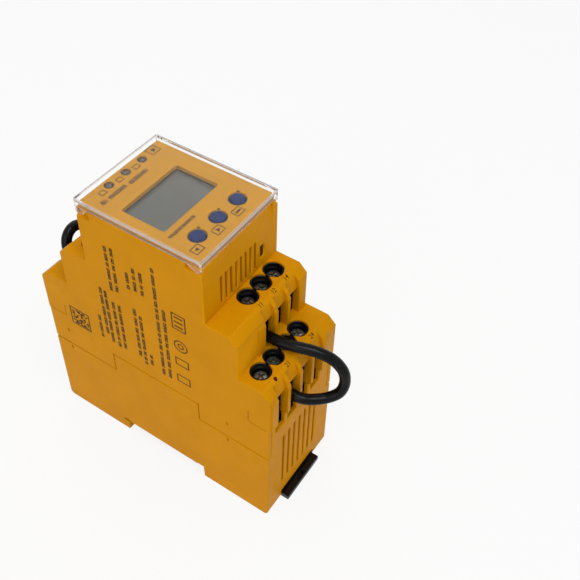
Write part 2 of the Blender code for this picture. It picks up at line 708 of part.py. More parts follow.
def cut_cover_seats(shell):
    """Cut the side recesses that the cover's ears and tabs lie in, and the hinge holes."""
    sweep = math.hypot(HINGE_INSET, HINGE_Z - ear_bottom()) + GAP
    for side in (-1, 1):
        inner = side * (HALF_WIDTH - COVER_WALL - GAP)
        outer = side * (HALF_WIDTH + WALL)
        low_x, high_x = min(inner, outer), max(inner, outer)
        cut(shell, block("ear_recess", (low_x, FRONT_HALF - EAR_LENGTH - EAR_BACK - GAP, HINGE_Z - sweep),
                         (high_x, FRONT_HALF + WALL, RIM_Z + WALL)))
        cut(shell, block("tab_recess", (low_x, -FRONT_HALF - WALL, RIM_Z - TAB_DROP),
                         (high_x, -FRONT_HALF + TAB_LENGTH + GAP, RIM_Z + WALL)))
        cut(shell, rod("hinge_hole", (side * (INNER_HALF - WALL), HINGE_Y, HINGE_Z),
                       (outer, HINGE_Y, HINGE_Z), HINGE_PIN_RADIUS + GAP, SMALL_SIDES))


# ---------------------------------------------------------------- cover and front

def ear_bottom():
    """Give the height of the lower edge of the cover's hinge ears."""
    return RIM_Z + GAP - EAR_DROP


def build_cover():
    """Clear hinged cover: plate, skirts, hinge ears with pins and snap tabs."""
    plate = block("clear_cover", (-HALF_WIDTH, -FRONT_HALF, COVER_BOTTOM_Z),
                  (HALF_WIDTH, FRONT_HALF, COVER_TOP_Z), CLEAR)
    skirt_z = RIM_Z + GAP
    tab_z = skirt_z - TAB_DROP
    side = [(-FRONT_HALF, COVER_TOP_Z), (-FRONT_HALF, tab_z + TAB_DROP / 2),
            (-FRONT_HALF + TAB_DROP / 2, tab_z), (-FRONT_HALF + TAB_DROP, tab_z),
            (-FRONT_HALF + TAB_LENGTH, skirt_z), (FRONT_HALF - EAR_LENGTH - EAR_BACK, skirt_z),
            (FRONT_HALF - EAR_LENGTH + EAR_BACK, ear_bottom()), (FRONT_HALF, ear_bottom()),
            (FRONT_HALF, COVER_TOP_Z)]
    for hand in (-1, 1):
        inner, outer = hand * (HALF_WIDTH - COVER_WALL), hand * HALF_WIDTH
        join(plate, outline_solid("cover_side", side, min(inner, outer), max(inner, outer)))
        join(plate, rod("hinge_pin", (hand * (HALF_WIDTH - COVER_WALL / 2), HINGE_Y, HINGE_Z),
                        (inner - hand * HINGE_PIN_LENGTH, HINGE_Y, HINGE_Z),
                        HINGE_PIN_RADIUS, SMALL_SIDES))
    join(plate, block("cover_lip", (-HALF_WIDTH, -FRONT_HALF, skirt_z),
                      (HALF_WIDTH, -FRONT_HALF + COVER_WALL, COVER_TOP_Z)))
    set_origin(plate, (0.0, HINGE_Y, HINGE_Z))
    return plate


def set_origin(item, place):
    """Move an object's origin, and that of its cutters, to a place on its axis."""
    place = Vector(place)
    item.data.transform(Matrix.Translation(-place))
    item.location = place


def key_places():
    """Give the three keys' x places."""
    return [(index - 1) * KEY_PITCH for index in range(3)]


def lamp_places():
    """Give the three lamps' x places."""
    return [(index - 1) * LAMP_PITCH for index in range(3)]


def build_front_panel():
    """Yellow front panel with the window, lamp and key holes and its snap legs."""
    half_x, half_y = HALF_WIDTH - PANEL_INSET, FRONT_HALF - PANEL_INSET
    panel = block("front_panel", (-half_x, -half_y, PANEL_BOTTOM_Z),
                  (half_x, half_y, PANEL_TOP_Z), YELLOW)
    leg_outer = FRONT_HALF - WALL - PANEL_INSET - GAP
    for side in (-1, 1):
        for hand in (-1, 1):
            near, far = side * (leg_outer - LEG_THICKNESS), side * leg_outer
            join(panel, block(
                "panel_leg", (hand * LEG_X - LEG_WIDTH / 2, min(near, far), PANEL_BOTTOM_Z - LEG_LENGTH),
                (hand * LEG_X + LEG_WIDTH / 2, max(near, far), PANEL_BOTTOM_Z + GAP)))
    low_z, high_z = PANEL_BOTTOM_Z - WALL, PANEL_TOP_Z + WALL
    cut(panel, block(
        "window", (WINDOW_X - WINDOW_WIDTH / 2, WINDOW_Y - WINDOW_HEIGHT / 2, PANEL_BOTTOM_Z - GAP),
        (WINDOW_X + WINDOW_WIDTH / 2, WINDOW_Y + WINDOW_HEIGHT / 2, high_z)))
    for x in lamp_places():
        cut(panel, rod("lamp_hole", (x, LAMP_Y, low_z), (x, LAMP_Y, high_z), LAMP_RADIUS + GAP))
    for x in key_places():
        cut(panel, rod("key_hole", (x, KEY_Y, low_z), (x, KEY_Y, high_z), KEY_RADIUS + GAP))
    return panel


def build_display():
    """LCD module, display board, lamps, keys and their switches."""
    half_x, half_y = WINDOW_WIDTH / 2 + LCD_MARGIN, WINDOW_HEIGHT / 2 + LCD_MARGIN
    block("lcd_module", (WINDOW_X - half_x, WINDOW_Y - half_y, DISPLAY_BOARD_TOP_Z + GAP),
          (WINDOW_X + half_x, WINDOW_Y + half_y, PANEL_BOTTOM_Z - GAP), LCD_GREY)
    board_x, board_y = INNER_HALF - GAP * 2, FRONT_HALF - WALL - GAP * 2
    block("display_board", (-board_x, -board_y, DISPLAY_BOARD_BOTTOM_Z),
          (board_x, board_y, DISPLAY_BOARD_TOP_Z), BOARD_GREEN)
    for index, x in enumerate(lamp_places()):
        top = PANEL_TOP_Z - LAMP_SINK
        low = DISPLAY_BOARD_TOP_Z + GAP
        lamp = turned("status_lamp_%d" % (index + 1),
                      [(0.0, top), (LAMP_RADIUS * 0.7, top - LAMP_SINK), (LAMP_RADIUS, top - LAMP_SINK * 4),
                       (LAMP_RADIUS, low), (0.0, low)], LAMP_GREY)
        lamp.location = (x, LAMP_Y, 0.0)
        smooth(lamp)
    for index, x in enumerate(key_places()):
        build_key(index + 1, x)


def build_key(number, x):
    """One key cap with its flange and stem, and the switch that it presses."""
    top = PANEL_TOP_Z + KEY_PROUD
    flange_top = PANEL_BOTTOM_Z - GAP
    flange_low = flange_top - KEY_FLANGE_THICKNESS
    stem_low = flange_low - KEY_STEM_LENGTH
    flange_radius = KEY_RADIUS + KEY_FLANGE
    edge = KEY_PROUD / 2
    profile = [(0.0, top), (KEY_RADIUS - edge, top), (KEY_RADIUS, top - edge), (KEY_RADIUS, flange_top),
               (flange_radius, flange_top), (flange_radius, flange_low), (KEY_STEM_RADIUS, flange_low),
               (KEY_STEM_RADIUS, stem_low), (0.0, stem_low)]
    key = turned("key_%d" % number, [(r, z - top) for r, z in profile], BLUE, ROUND_SIDES)
    key.location = (x, KEY_Y, top)
    smooth(key)
    button_top = stem_low - KEY_TRAVEL - GAP
    body_top = button_top - SWITCH_BUTTON_HEIGHT
    half = SWITCH_WIDTH / 2
    switch = block("key_switch_%d" % number,
                   (x - half, KEY_Y - half, DISPLAY_BOARD_TOP_Z + GAP), (x + half, KEY_Y + half, body_top),
                   SWITCH_BLACK)
    join(switch, rod("switch_button", (x, KEY_Y, body_top - GAP), (x, KEY_Y, button_top),
                     SWITCH_BUTTON_RADIUS, SMALL_SIDES))


# ---------------------------------------------------------------- terminals

def apron_bottom():
    """Give the lower edge of the lower carriers' aprons, just below the slots' floor."""
    return slot_floor(LOWER) - APRON_OVERLAP


def build_carrier(row, end_name, empty):
    """Black terminal carrier of one row: collars, screw shelf, cage chambers and contacts."""
    low_x = row.poles[0] - POLE_PITCH / 2
    high_x = row.poles[-1] + POLE_PITCH / 2
    front_y = row.inner_y + GAP
    chamber_half = CAGE_HALF_DEPTH + GAP
    back_y = row.well_y + chamber_half + CARRIER_FACE
    top_z = row.deck_z - COLUMN_SINK
    name = "%s_carrier_%s" % (row.name, end_name)
    carrier = block(name, (low_x, front_y, row.deck_z - CARRIER_DROP), (high_x, back_y, top_z), BLACK)
    shelf_top = row.deck_z - HEAD_DROP - HEAD_HEIGHT - GAP
    shelf_low = shelf_top - SHELF_THICKNESS
    contact_low = row.wire_z + PIN_RADIUS + GAP
    contact_top = contact_low + CONTACT_THICKNESS
    cage_half = CAGE_HALF_WIDTH + GAP
    chamber_low = row.deck_z - CARRIER_DROP + CARRIER_WALL
    if row is LOWER:
        join(carrier, block("apron", (low_x, front_y, apron_bottom()),
                            (high_x, front_y + CARRIER_FACE, row.deck_z - CARRIER_DROP + GAP)))
    for index, x in enumerate(row.poles):
        join(carrier, rod("collar_%d" % index, (x, row.well_y, top_z - GAP),
                          (x, row.well_y, row.deck_z - COLLAR_SINK), COLLAR_RADIUS))
    for index, x in enumerate(row.poles):
        cut(carrier, rod("bore_%d" % index, (x, row.well_y, shelf_top),
                         (x, row.well_y, row.deck_z + WALL), COLLAR_BORE))
        cut(carrier, rod("shank_hole_%d" % index, (x, row.well_y, shelf_low - GAP),
                         (x, row.well_y, shelf_top + GAP), THREAD_RADIUS + GAP, SMALL_SIDES))
        cut(carrier, block("chamber_top_%d" % index,
                           (x - cage_half, row.well_y - chamber_half, contact_top),
                           (x + cage_half, row.well_y + chamber_half, shelf_low)))
        cut(carrier, block("chamber_low_%d" % index,
                           (x - cage_half, row.well_y - chamber_half, chamber_low),
                           (x + cage_half, row.well_y + chamber_half, contact_low)))
        for hand in (-1, 1):
            inner, outer = x + hand * CONTACT_HALF_WIDTH, x + hand * cage_half
            cut(carrier, block("chamber_side_%d" % index,
                               (min(inner, outer), row.well_y - chamber_half, contact_low - GAP),
                               (max(inner, outer), row.well_y + chamber_half, contact_top + GAP)))
        cut(carrier, block("entry_%d" % index,
                           (x - ENTRY_WIDTH / 2, front_y - GAP, contact_low - ENTRY_WIDTH),
                           (x + ENTRY_WIDTH / 2, row.well_y, contact_low)))
    carrier.parent = empty
    return carrier


def build_terminal(number, row, x, empty):
    """One terminal screw and the clamp cage that it raises."""
    head_top = row.deck_z - HEAD_DROP
    head_low = head_top - HEAD_HEIGHT
    tip_z = row.wire_z + PIN_RADIUS + GAP + CONTACT_THICKNESS + GAP
    edge = HEAD_HEIGHT / 8
    profile = [(0.0, head_top), (HEAD_RADIUS - edge, head_top), (HEAD_RADIUS, head_top - edge),
               (HEAD_RADIUS, head_low), (THREAD_RADIUS, head_low), (THREAD_RADIUS, tip_z), (0.0, tip_z)]
    screw = turned("terminal_screw_%02d" % number, [(r, z - head_top) for r, z in profile], ZINC)
    smooth(screw)
    screw.parent = empty
    screw.location = (x, row.well_y, head_top)
    slot = block("screw_slot", (-HEAD_RADIUS - WALL, -HEAD_SLOT_WIDTH / 2, -HEAD_SLOT_DEPTH),
                 (HEAD_RADIUS + WALL, HEAD_SLOT_WIDTH / 2, WALL))
    slot.parent = empty
    slot.location = screw.location
    cut(screw, slot)

    shelf_low = head_low - GAP - SHELF_THICKNESS
    cage_top = shelf_low - GAP
    cage_low = row.wire_z - PIN_RADIUS - GAP - CAGE_BOTTOM
    cage = block("clamp_cage_%02d" % number, (-CAGE_HALF_WIDTH, -CAGE_HALF_DEPTH, cage_low - row.wire_z),
                 (CAGE_HALF_WIDTH, CAGE_HALF_DEPTH, cage_top - row.wire_z), ZINC)
    cage.parent = empty
    cage.location = (x, row.well_y, row.wire_z)
    inner_half = CAGE_HALF_WIDTH - CAGE_SIDE
    window = block("cage_window",
                   (-inner_half, -CAGE_HALF_DEPTH - WALL, cage_low + CAGE_BOTTOM - row.wire_z),
                   (inner_half, CAGE_HALF_DEPTH + WALL, cage_top - CAGE_TOP - row.wire_z))
    thread = rod("cage_thread", (0.0, 0.0, cage_top - CAGE_TOP - GAP - row.wire_z),
                 (0.0, 0.0, cage_top + WALL - row.wire_z), THREAD_RADIUS + GAP, SMALL_SIDES)
    for tool in (window, thread):
        tool.parent = empty
        tool.location = cage.location
        cut(cage, tool)


def build_terminals():
    """Carriers, screws and cages of both ends."""
    number = 0
    for end_name, turn in ENDS:
        empty = end_empty(end_name + "_end", turn)
        for row in ROWS:
            build_carrier_at(row, end_name, empty)
            for x in row.poles:
                number += 1
                build_terminal(number, row, x, empty)


def build_carrier_at(row, end_name, empty):
    """Build a carrier, and carry its cutters on the same empty as the carrier."""
    carrier = build_carrier(row, end_name, empty)
    for modifier in carrier.modifiers:
        modifier.object.parent = empty


# ---------------------------------------------------------------- boards and components

def board_outline():
    """Outline of the two upright boards, stepped to clear the carriers."""
    behind_cage = CAGE_HALF_DEPTH + GAP + CARRIER_FACE + GAP
    end_y = END_WALL_HALF - WALL - GAP
    apron_y = -(LOWER.inner_y + GAP + CARRIER_FACE + GAP)
    lower_y = -(LOWER.well_y + behind_cage)
    upper_y = -(UPPER.well_y + behind_cage)
    front_y = FRONT_HALF - WALL - GAP
    apron_z = apron_bottom() - GAP
    lower_z = LOWER.deck_z - CARRIER_DROP - GAP
    upper_z = UPPER.deck_z - CARRIER_DROP - GAP
    shoulder_z = MIDDLE_DECK_Z - WALL - GAP
    side = [(end_y, FLOOR_Z + GAP), (end_y, apron_z), (apron_y, apron_z), (apron_y, lower_z),
            (lower_y, lower_z), (lower_y, upper_z), (upper_y, upper_z), (upper_y, shoulder_z),
            (front_y, shoulder_z), (front_y, DISPLAY_BOARD_BOTTOM_Z - GAP)]
    return side + [(-y, z) for y, z in reversed(side)]


def build_boards():
    """Main and supply boards with the relays, transformer, capacitor and headers between them."""
    outer_x = BOARD_X + BOARD_THICKNESS
    outline_solid("main_board", board_outline(), BOARD_X, outer_x, BOARD_GREEN)
    outline_solid("supply_board", board_outline(), -outer_x, -BOARD_X, BOARD_GREEN)
    seat = BOARD_X - GAP
    for index in range(2):
        low_z = RELAY_FIRST_Z + index * RELAY_PITCH
        block("output_relay_%d" % (index + 1), (seat - RELAY_WIDTH, RELAY_Y - RELAY_LENGTH / 2, low_z),
              (seat, RELAY_Y + RELAY_LENGTH / 2, low_z + RELAY_HEIGHT), RELAY_BODY)
    core = block("transformer", (-seat, CORE_Y - CORE_LENGTH / 2, CORE_Z - CORE_HEIGHT / 2),
                 (-seat + CORE_THICKNESS, CORE_Y + CORE_LENGTH / 2, CORE_Z + CORE_HEIGHT / 2), CORE_IRON)
    join(core, block("coil", (-seat, CORE_Y - COIL_LENGTH / 2, CORE_Z - COIL_LENGTH / 2),
                     (-seat + COIL_THICKNESS, CORE_Y + COIL_LENGTH / 2, CORE_Z + COIL_LENGTH / 2)))
    smooth(rod("supply_capacitor", (-seat, CAPACITOR_Y, CAPACITOR_Z),
               (-seat + CAPACITOR_LENGTH, CAPACITOR_Y, CAPACITOR_Z), CAPACITOR_RADIUS,
               material=CAPACITOR_SLEEVE))
    half = HEADER_LENGTH / 2
    block("board_header", (-seat, -half, HEADER_Z), (seat, half, HEADER_Z + HEADER_THICKNESS), BLACK)
    top = DISPLAY_BOARD_BOTTOM_Z - GAP
    block("display_header", (seat - HEADER_THICKNESS, -half, top - HEADER_LENGTH),
          (seat, half, top), BLACK)


# ---------------------------------------------------------------- link wires

def smooth_path(points, steps):
    """Read points off the smooth curve that runs through the route's points."""
    places = [Vector(point) for point in points]
    places = [places[0] * 2 - places[1]] + places + [places[-1] * 2 - places[-2]]
    path = []
    for index in range(1, len(places) - 2):
        before, start, end, after = places[index - 1:index + 3]
        for step in range(steps):
            t = step / steps
            path.append(0.5 * ((2 * start) + (end - before) * t
                               + (2 * before - 5 * start + 4 * end - after) * t * t
                               + (3 * start - before - 3 * end + after) * t * t * t))
    path.append(places[-2])
    return path


def build_link(name, route, start_pole, end_pole):
    """Link wire with a bare pin at each end, from one terminal's cage to another's."""
    start_pin = pin_points(*start_pole)
    end_pin = pin_points(*end_pole)
    route_points = [Vector((mm(x), mm(y), mm(z))) for x, y, z in route]
    middle = smooth_path([start_pin[-1]] + route_points + [end_pin[-1]], 3)
    points = start_pin[:-1] + middle + list(reversed(end_pin[:-1]))
    radii = [PIN_RADIUS, PIN_RADIUS] + [WIRE_RADIUS] * len(middle) + [PIN_RADIUS, PIN_RADIUS]
    tube(name, points, WIRE_RADIUS, WIRE_BLACK, radii=radii)


def pin_points(row, pole, turn):
    """Give a pin's inner end, its shoulder and where the wire proper starts."""
    x = row.poles[pole]
    face_y = row.inner_y + GAP
    places = [Vector((x, row.well_y + PIN_RADIUS, row.wire_z)),
              Vector((x, face_y - GAP, row.wire_z)),
              Vector((x, face_y - GAP - WIRE_TAPER, row.wire_z))]
    return [Matrix.Rotation(turn, 3, "Z") @ place for place in places]


def build_links():
    """The two link wires that the terminals hold at both ends."""
    output_turn, supply_turn = ENDS[0][1], ENDS[1][1]
    build_link("output_link_wire", OUTPUT_LINK_ROUTE, (UPPER, 0, output_turn), (LOWER, 1, output_turn))
    build_link("supply_link_wire", SUPPLY_LINK_ROUTE, (UPPER, 2, supply_turn), (UPPER, 0, supply_turn))


build_base()
build_upper_housing()
build_clip()
build_clip_spring()
build_front_panel()
build_display()
build_cover()
build_terminals()
build_boards()
build_links()
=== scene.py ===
"""The looks of a two-module digital relay for a 35 mm rail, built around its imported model.

The frame holds the relay at its real size: X runs along the rail, Y along the housing and +Z out
of its front. Each sub-assembly below is a class that makes its own pieces and dresses them, each
finish is a frozen dataclass, and main() builds the classes in order. Lengths are in metres,
written through mm().
"""

import json
import logging
import math
import random
from dataclasses import dataclass, field
from enum import Enum, IntEnum
from typing import Callable, Iterable, Optional, Protocol, Sequence, Union

import bmesh
import bpy
from mathutils import Matrix, Vector
from mathutils.bvhtree import BVHTree

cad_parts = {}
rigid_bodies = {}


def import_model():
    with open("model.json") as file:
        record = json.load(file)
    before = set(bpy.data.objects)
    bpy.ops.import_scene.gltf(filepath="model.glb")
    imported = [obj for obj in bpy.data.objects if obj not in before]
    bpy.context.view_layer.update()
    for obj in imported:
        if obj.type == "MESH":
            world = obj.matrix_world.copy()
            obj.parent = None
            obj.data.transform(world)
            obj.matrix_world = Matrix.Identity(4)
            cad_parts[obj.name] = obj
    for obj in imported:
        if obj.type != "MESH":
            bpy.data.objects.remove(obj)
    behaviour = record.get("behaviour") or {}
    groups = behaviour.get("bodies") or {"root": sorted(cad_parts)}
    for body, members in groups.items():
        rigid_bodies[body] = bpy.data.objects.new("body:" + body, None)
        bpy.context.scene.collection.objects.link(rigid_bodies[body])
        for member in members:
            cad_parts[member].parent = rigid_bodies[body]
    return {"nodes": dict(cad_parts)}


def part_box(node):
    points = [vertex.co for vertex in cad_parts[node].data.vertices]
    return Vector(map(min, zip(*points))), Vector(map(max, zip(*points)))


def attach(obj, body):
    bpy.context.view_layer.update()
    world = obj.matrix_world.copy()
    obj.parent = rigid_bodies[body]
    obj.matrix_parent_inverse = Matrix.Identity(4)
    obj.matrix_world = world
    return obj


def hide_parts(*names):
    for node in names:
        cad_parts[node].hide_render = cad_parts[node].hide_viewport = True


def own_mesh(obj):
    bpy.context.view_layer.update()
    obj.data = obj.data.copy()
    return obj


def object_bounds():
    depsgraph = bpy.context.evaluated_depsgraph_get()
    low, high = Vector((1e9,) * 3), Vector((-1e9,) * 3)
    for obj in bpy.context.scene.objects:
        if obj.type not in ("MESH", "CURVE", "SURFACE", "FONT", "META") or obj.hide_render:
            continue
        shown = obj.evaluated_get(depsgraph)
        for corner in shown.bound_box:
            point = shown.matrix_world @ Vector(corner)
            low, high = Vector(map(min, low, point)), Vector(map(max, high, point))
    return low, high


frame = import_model()
CAD_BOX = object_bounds()

LOG = logging.getLogger("rail_relay")

Colour = tuple[float, float, float]
Stop = tuple[float, Colour]
Pair = tuple[float, float]
Triple = tuple[float, float, float]
Material = bpy.types.Material
Mesh = bpy.types.Mesh
Shape = bmesh.types.BMesh
Socket = bpy.types.NodeSocket


def mm(value: float) -> float:
    """Turn millimetres into metres."""
    return value * 0.001


# Points closer than MERGE are one point. Print stands INK_DEPTH out of its face.
MERGE = mm(0.002)
INK_DEPTH = mm(0.015)

# Faces that turn by less than ONE_FACE_TURN are one face. A curved wall's facets turn by FACET_TURNS.
ONE_FACE_TURN = math.radians(1.0)
FACET_TURNS = (math.radians(2.0), math.radians(33.0))

YELLOW: Colour = (0.655, 0.272, 0.001)
PANEL_YELLOW: Colour = (0.49, 0.225, 0.001)
KEY_BLUE: Colour = (0.002, 0.015, 0.1)
BROWN_INK: Colour = (0.045, 0.027, 0.005)
PANEL_INK: Colour = (0.03, 0.014, 0.006)


class Body(Enum):
    """The bodies that single pieces ride on."""

    HOUSING = "housing"
    COVER = "cover"
    CLIP = "clip"


class Slot(Enum):
    """The record's material slots."""

    HOUSING = "housing"
    COVER = "cover"
    KEY = "key"
    LCD = "lcd"
    LAMP = "lamp"
    BOARD = "board"
    BLACK = "black_plastic"
    RELAY = "relay"
    CORE = "core"
    SLEEVE = "sleeve"
    SPRING = "spring"
    SCREW = "screw"
    CAGE = "cage"
    WIRE = "wire"


class End(Enum):
    """The housing's two ends, by the turn about +Z that brings the output end there."""

    OUTPUT = 0.0
    SUPPLY = math.pi

    @property
    def turn(self) -> Matrix:
        """Give the turn as a matrix."""
        return Matrix.Rotation(self.value, 4, "Z")

    @property
    def label(self) -> str:
        """Give the end's name for pieces."""
        return self.name.lower()


class Side(Enum):
    """The housing's two long sides."""

    NEAR = -1
    FAR = 1


class CoverFinish(IntEnum):
    """The cover's finishes, by their place in its list of materials: its clear faces, then a painted
    highlight for its rounded edges and one for its plate's rim.
    """

    FACE = 0
    EDGE = 1
    RIM_HIGHLIGHT = 2


# ---------------------------------------------------------------- finishes

class Nodes:
    """A node tree, with short calls that add nodes and join them."""

    def __init__(self, tree: bpy.types.NodeTree) -> None:
        """Take the tree."""
        self.tree = tree

    def node(self, kind: str, **settings: object) -> bpy.types.Node:
        """Add a node and set its properties.

        Args:
            kind: The node's type.
            **settings: Its properties by name.

        Returns:
            The node.
        """
        made = self.tree.nodes.new(kind)
        for key, value in settings.items():
            setattr(made, key, value)
        return made

    def link(self, source: Socket, node: bpy.types.Node, target: Union[str, int]) -> None:
        """Join a socket to a node's input, by its name or number."""
        self.tree.links.new(source, node.inputs[target])

    def combined(self, operation: str, first: Socket, second: Union[Socket, float]) -> Socket:
        """Work out one value from two.

        Args:
            operation: What is done with them: MAXIMUM, MULTIPLY or LESS_THAN.
            first: The first value.
            second: The second, as a socket or a number.

        Returns:
            The result.
        """
        made = self.node("ShaderNodeMath", operation=operation)
        self.link(first, made, 0)
        if isinstance(second, float):
            made.inputs[1].default_value = second
        else:
            self.link(second, made, 1)
        return made.outputs["Value"]

    def in_sight(self) -> Socket:
        """Tell the camera's rays from others, also off a gloss or through a clear piece.

        Returns:
            1 for such a ray and 0 for any other.
        """
        rays = self.node("ShaderNodeLightPath").outputs
        shown = self.combined("MAXIMUM", rays["Is Camera Ray"], rays["Is Glossy Ray"])
        return self.combined("MAXIMUM", shown, rays["Is Transmission Ray"])

    def blend(self, share: Socket, first: Socket, second: Socket) -> Socket:
        """Mix two shaders.

        Args:
            share: The second one's share.
            first: The first shader.
            second: The second shader.

        Returns:
            The mixed shader.
        """
        made = self.node("ShaderNodeMixShader")
        for number, source in enumerate((share, first, second)):
            self.link(source, made, number)
        return made.outputs["Shader"]


class Graph(Nodes):
    """A material's node tree, with a short call for each pattern that the finishes share."""

    wave_period = 0.314

    def __init__(self, name: str) -> None:
        """Make the material.

        Args:
            name: The material's name.
        """
        self.material = bpy.data.materials.new(name)
        self.material.use_nodes = True
        super().__init__(self.material.node_tree)
        self.shader = self.tree.nodes["Principled BSDF"]
        self.place = self.node("ShaderNodeTexCoord").outputs["Object"]

    def plain(self, **values: object) -> None:
        """Set the shader's own sockets, named with underscores for spaces."""
        for key, value in values.items():
            self.shader.inputs[key.replace("_", " ")].default_value = value

    def dressed(self, colour: Socket, roughness: Socket, normal: Socket) -> Material:
        """Feed the shader its patterns.

        Args:
            colour: The surface's colour.
            roughness: Its roughness.
            normal: Its relief.

        Returns:
            The finished material.
        """
        for source, target in ((colour, "Base Color"), (roughness, "Roughness"), (normal, "Normal")):
            self.link(source, self.shader, target)
        return self.material

    def shared(self, share: Socket, other: Socket) -> Material:
        """Let another shader take a share of the surface.

        Args:
            share: Its share.
            other: The other shader.

        Returns:
            The finished material.
        """
        both = self.blend(share, self.shader.outputs["BSDF"], other)
        self.link(both, self.tree.nodes["Material Output"], "Surface")
        return self.material

    def mapped(self, stretch: Sequence[float], turn: float) -> Socket:
        """Stretch the pattern's place and turn it about Z.

        Args:
            stretch: The scale along each axis.
            turn: The turn in radians.

        Returns:
            The mapped place.
        """
        mapping = self.node("ShaderNodeMapping", vector_type="TEXTURE")
        mapping.inputs["Rotation"].default_value = (0.0, 0.0, turn)
        mapping.inputs["Scale"].default_value = [1.0 / value for value in stretch]
        self.link(self.place, mapping, "Vector")
        return mapping.outputs["Vector"]

    def noise(self, size: float, detail: float = 3.0, place: Optional[Socket] = None) -> Socket:
        """Give a cloudy pattern.

        Args:
            size: The width of its blotches in metres.
            detail: How many finer layers it has.
            place: The mapped place it reads, or the object's own.

        Returns:
            A value from 0 to 1.
        """
        made = self.node("ShaderNodeTexNoise")
        made.inputs["Scale"].default_value = 1.0 / size
        made.inputs["Detail"].default_value = detail
        self.link(place or self.place, made, "Vector")
        return made.outputs["Fac"]

    def bands(self, size: float, direction: str) -> Socket:
        """Give evenly spaced bands, a little uneven.

        Args:
            size: Their spacing in metres.
            direction: The axis that they are stacked along.

        Returns:
            A value from 0 to 1.
        """
        made = self.node("ShaderNodeTexWave", wave_type="BANDS", bands_direction=direction)
        made.inputs["Scale"].default_value = self.wave_period / size
        made.inputs["Distortion"].default_value = 1.5
        made.inputs["Detail Scale"].default_value = 2.0
        self.link(self.place, made, "Vector")
        return made.outputs["Fac"]

    def span(self, value: Socket, low: float, high: float, start: float = 0.3, end: float = 0.7) -> Socket:
        """Map a pattern's range onto another.

        Args:
            value: The pattern.
            low: What its start becomes.
            high: What its end becomes.
            start: The start of the range that is mapped.
            end: Its end.

        Returns:
            The mapped value.
        """
        made = self.node("ShaderNodeMapRange")
        for key, number in (("From Min", start), ("From Max", end), ("To Min", low), ("To Max", high)):
            made.inputs[key].default_value = number
        self.link(value, made, "Value")
        return made.outputs["Result"]

    def ramp(self, value: Socket, *stops: Stop) -> Socket:
        """Colour a pattern.

        Args:
            value: The pattern.
            *stops: Each place from 0 to 1 with its colour.

        Returns:
            The colour.
        """
        made = self.node("ShaderNodeValToRGB")
        elements = made.color_ramp.elements
        while len(elements) < len(stops):
            elements.new(0.5)
        for element, (place, colour) in zip(elements, stops):
            element.position = place
            element.color = (*colour, 1.0)
        self.link(value, made, "Fac")
        return made.outputs["Color"]

    def mix(self, share: Socket, first: Socket, second: Socket) -> Socket:
        """Mix two colours.

        Args:
            share: The second one's share.
            first: The first colour.
            second: The second colour.

        Returns:
            The mixed colour.
        """
        made = self.node("ShaderNodeMixRGB")
        for number, source in enumerate((share, first, second)):
            self.link(source, made, number)
        return made.outputs["Color"]

    def bump(self, height: Socket, depth: float, strength: float = 0.6,
             under: Optional[Socket] = None) -> Socket:
        """Turn a pattern into relief.

        Args:
            height: The pattern.
            depth: Its relief in metres.
            strength: How strongly it tells.
            under: The relief that this one lies on.

        Returns:
            The bumped normal.
        """
        made = self.node("ShaderNodeBump")
        made.inputs["Distance"].default_value = depth
        made.inputs["Strength"].default_value = strength
        self.link(height, made, "Height")
        if under is not None:
            self.link(under, made, "Normal")
        return made.outputs["Normal"]


def tinted(colour: Colour, share: float) -> Colour:
    """Give a colour made darker or lighter by a share."""
    return tuple(min(1.0, channel * share) for channel in colour)


@dataclass(frozen=True)
class MouldedPlastic:
    """Injection-moulded plastic with a spark-eroded satin skin and faint flow clouds.

    Args:
        name: The material's name.
        colour: Its colour.
        gloss: Roughness where the skin is smoothest.
        matt: Roughness where it is dullest.
        cloud: How far the colour wanders, as a share.
        grain: The width of the skin's grains in metres.
        relief: The grains' depth in metres.
        sheen: How strongly the skin reflects, where 0.5 is the plastic's own share.
        cloud_width: The width of its flow clouds.
        speck_width: The width of its darker specks.
        patch_width: The width of its smoother and duller patches.
        sink_width: The width of its sink marks.
        sink_depth: Their depth.
    """

    name: str
    colour: Colour
    gloss: float = 0.36
    matt: float = 0.5
    cloud: float = 0.05
    grain: float = mm(0.11)
    relief: float = mm(0.012)
    sheen: float = 0.03
    cloud_width: float = mm(14.0)
    speck_width: float = mm(0.45)
    patch_width: float = mm(2.5)
    sink_width: float = mm(9.0)
    sink_depth: float = mm(0.03)

    def build(self) -> Material:
        """Make the material.

        Returns:
            The material.
        """
        graph = Graph(self.name)
        graph.plain(IOR=1.52, Specular_IOR_Level=self.sheen)
        cloud = graph.noise(self.cloud_width, 4.0)
        body = graph.ramp(cloud, (0.3, tinted(self.colour, 1.0 - self.cloud)), (0.5, self.colour),
                          (0.7, tinted(self.colour, 1.0 + self.cloud)))
        dark = graph.ramp(cloud, (0.3, tinted(self.colour, 0.86)), (0.7, tinted(self.colour, 0.94)))
        specks = graph.span(graph.noise(self.speck_width, 2.0), 0.0, 0.5, 0.52, 0.75)
        patches = graph.span(graph.noise(self.patch_width), self.gloss, self.matt)
        sink = graph.bump(graph.noise(self.sink_width, 1.0), self.sink_depth, 0.25)
        skin = graph.bump(graph.noise(self.grain, 2.0), self.relief, 0.45, sink)
        return graph.dressed(graph.mix(specks, body, dark), patches, skin)


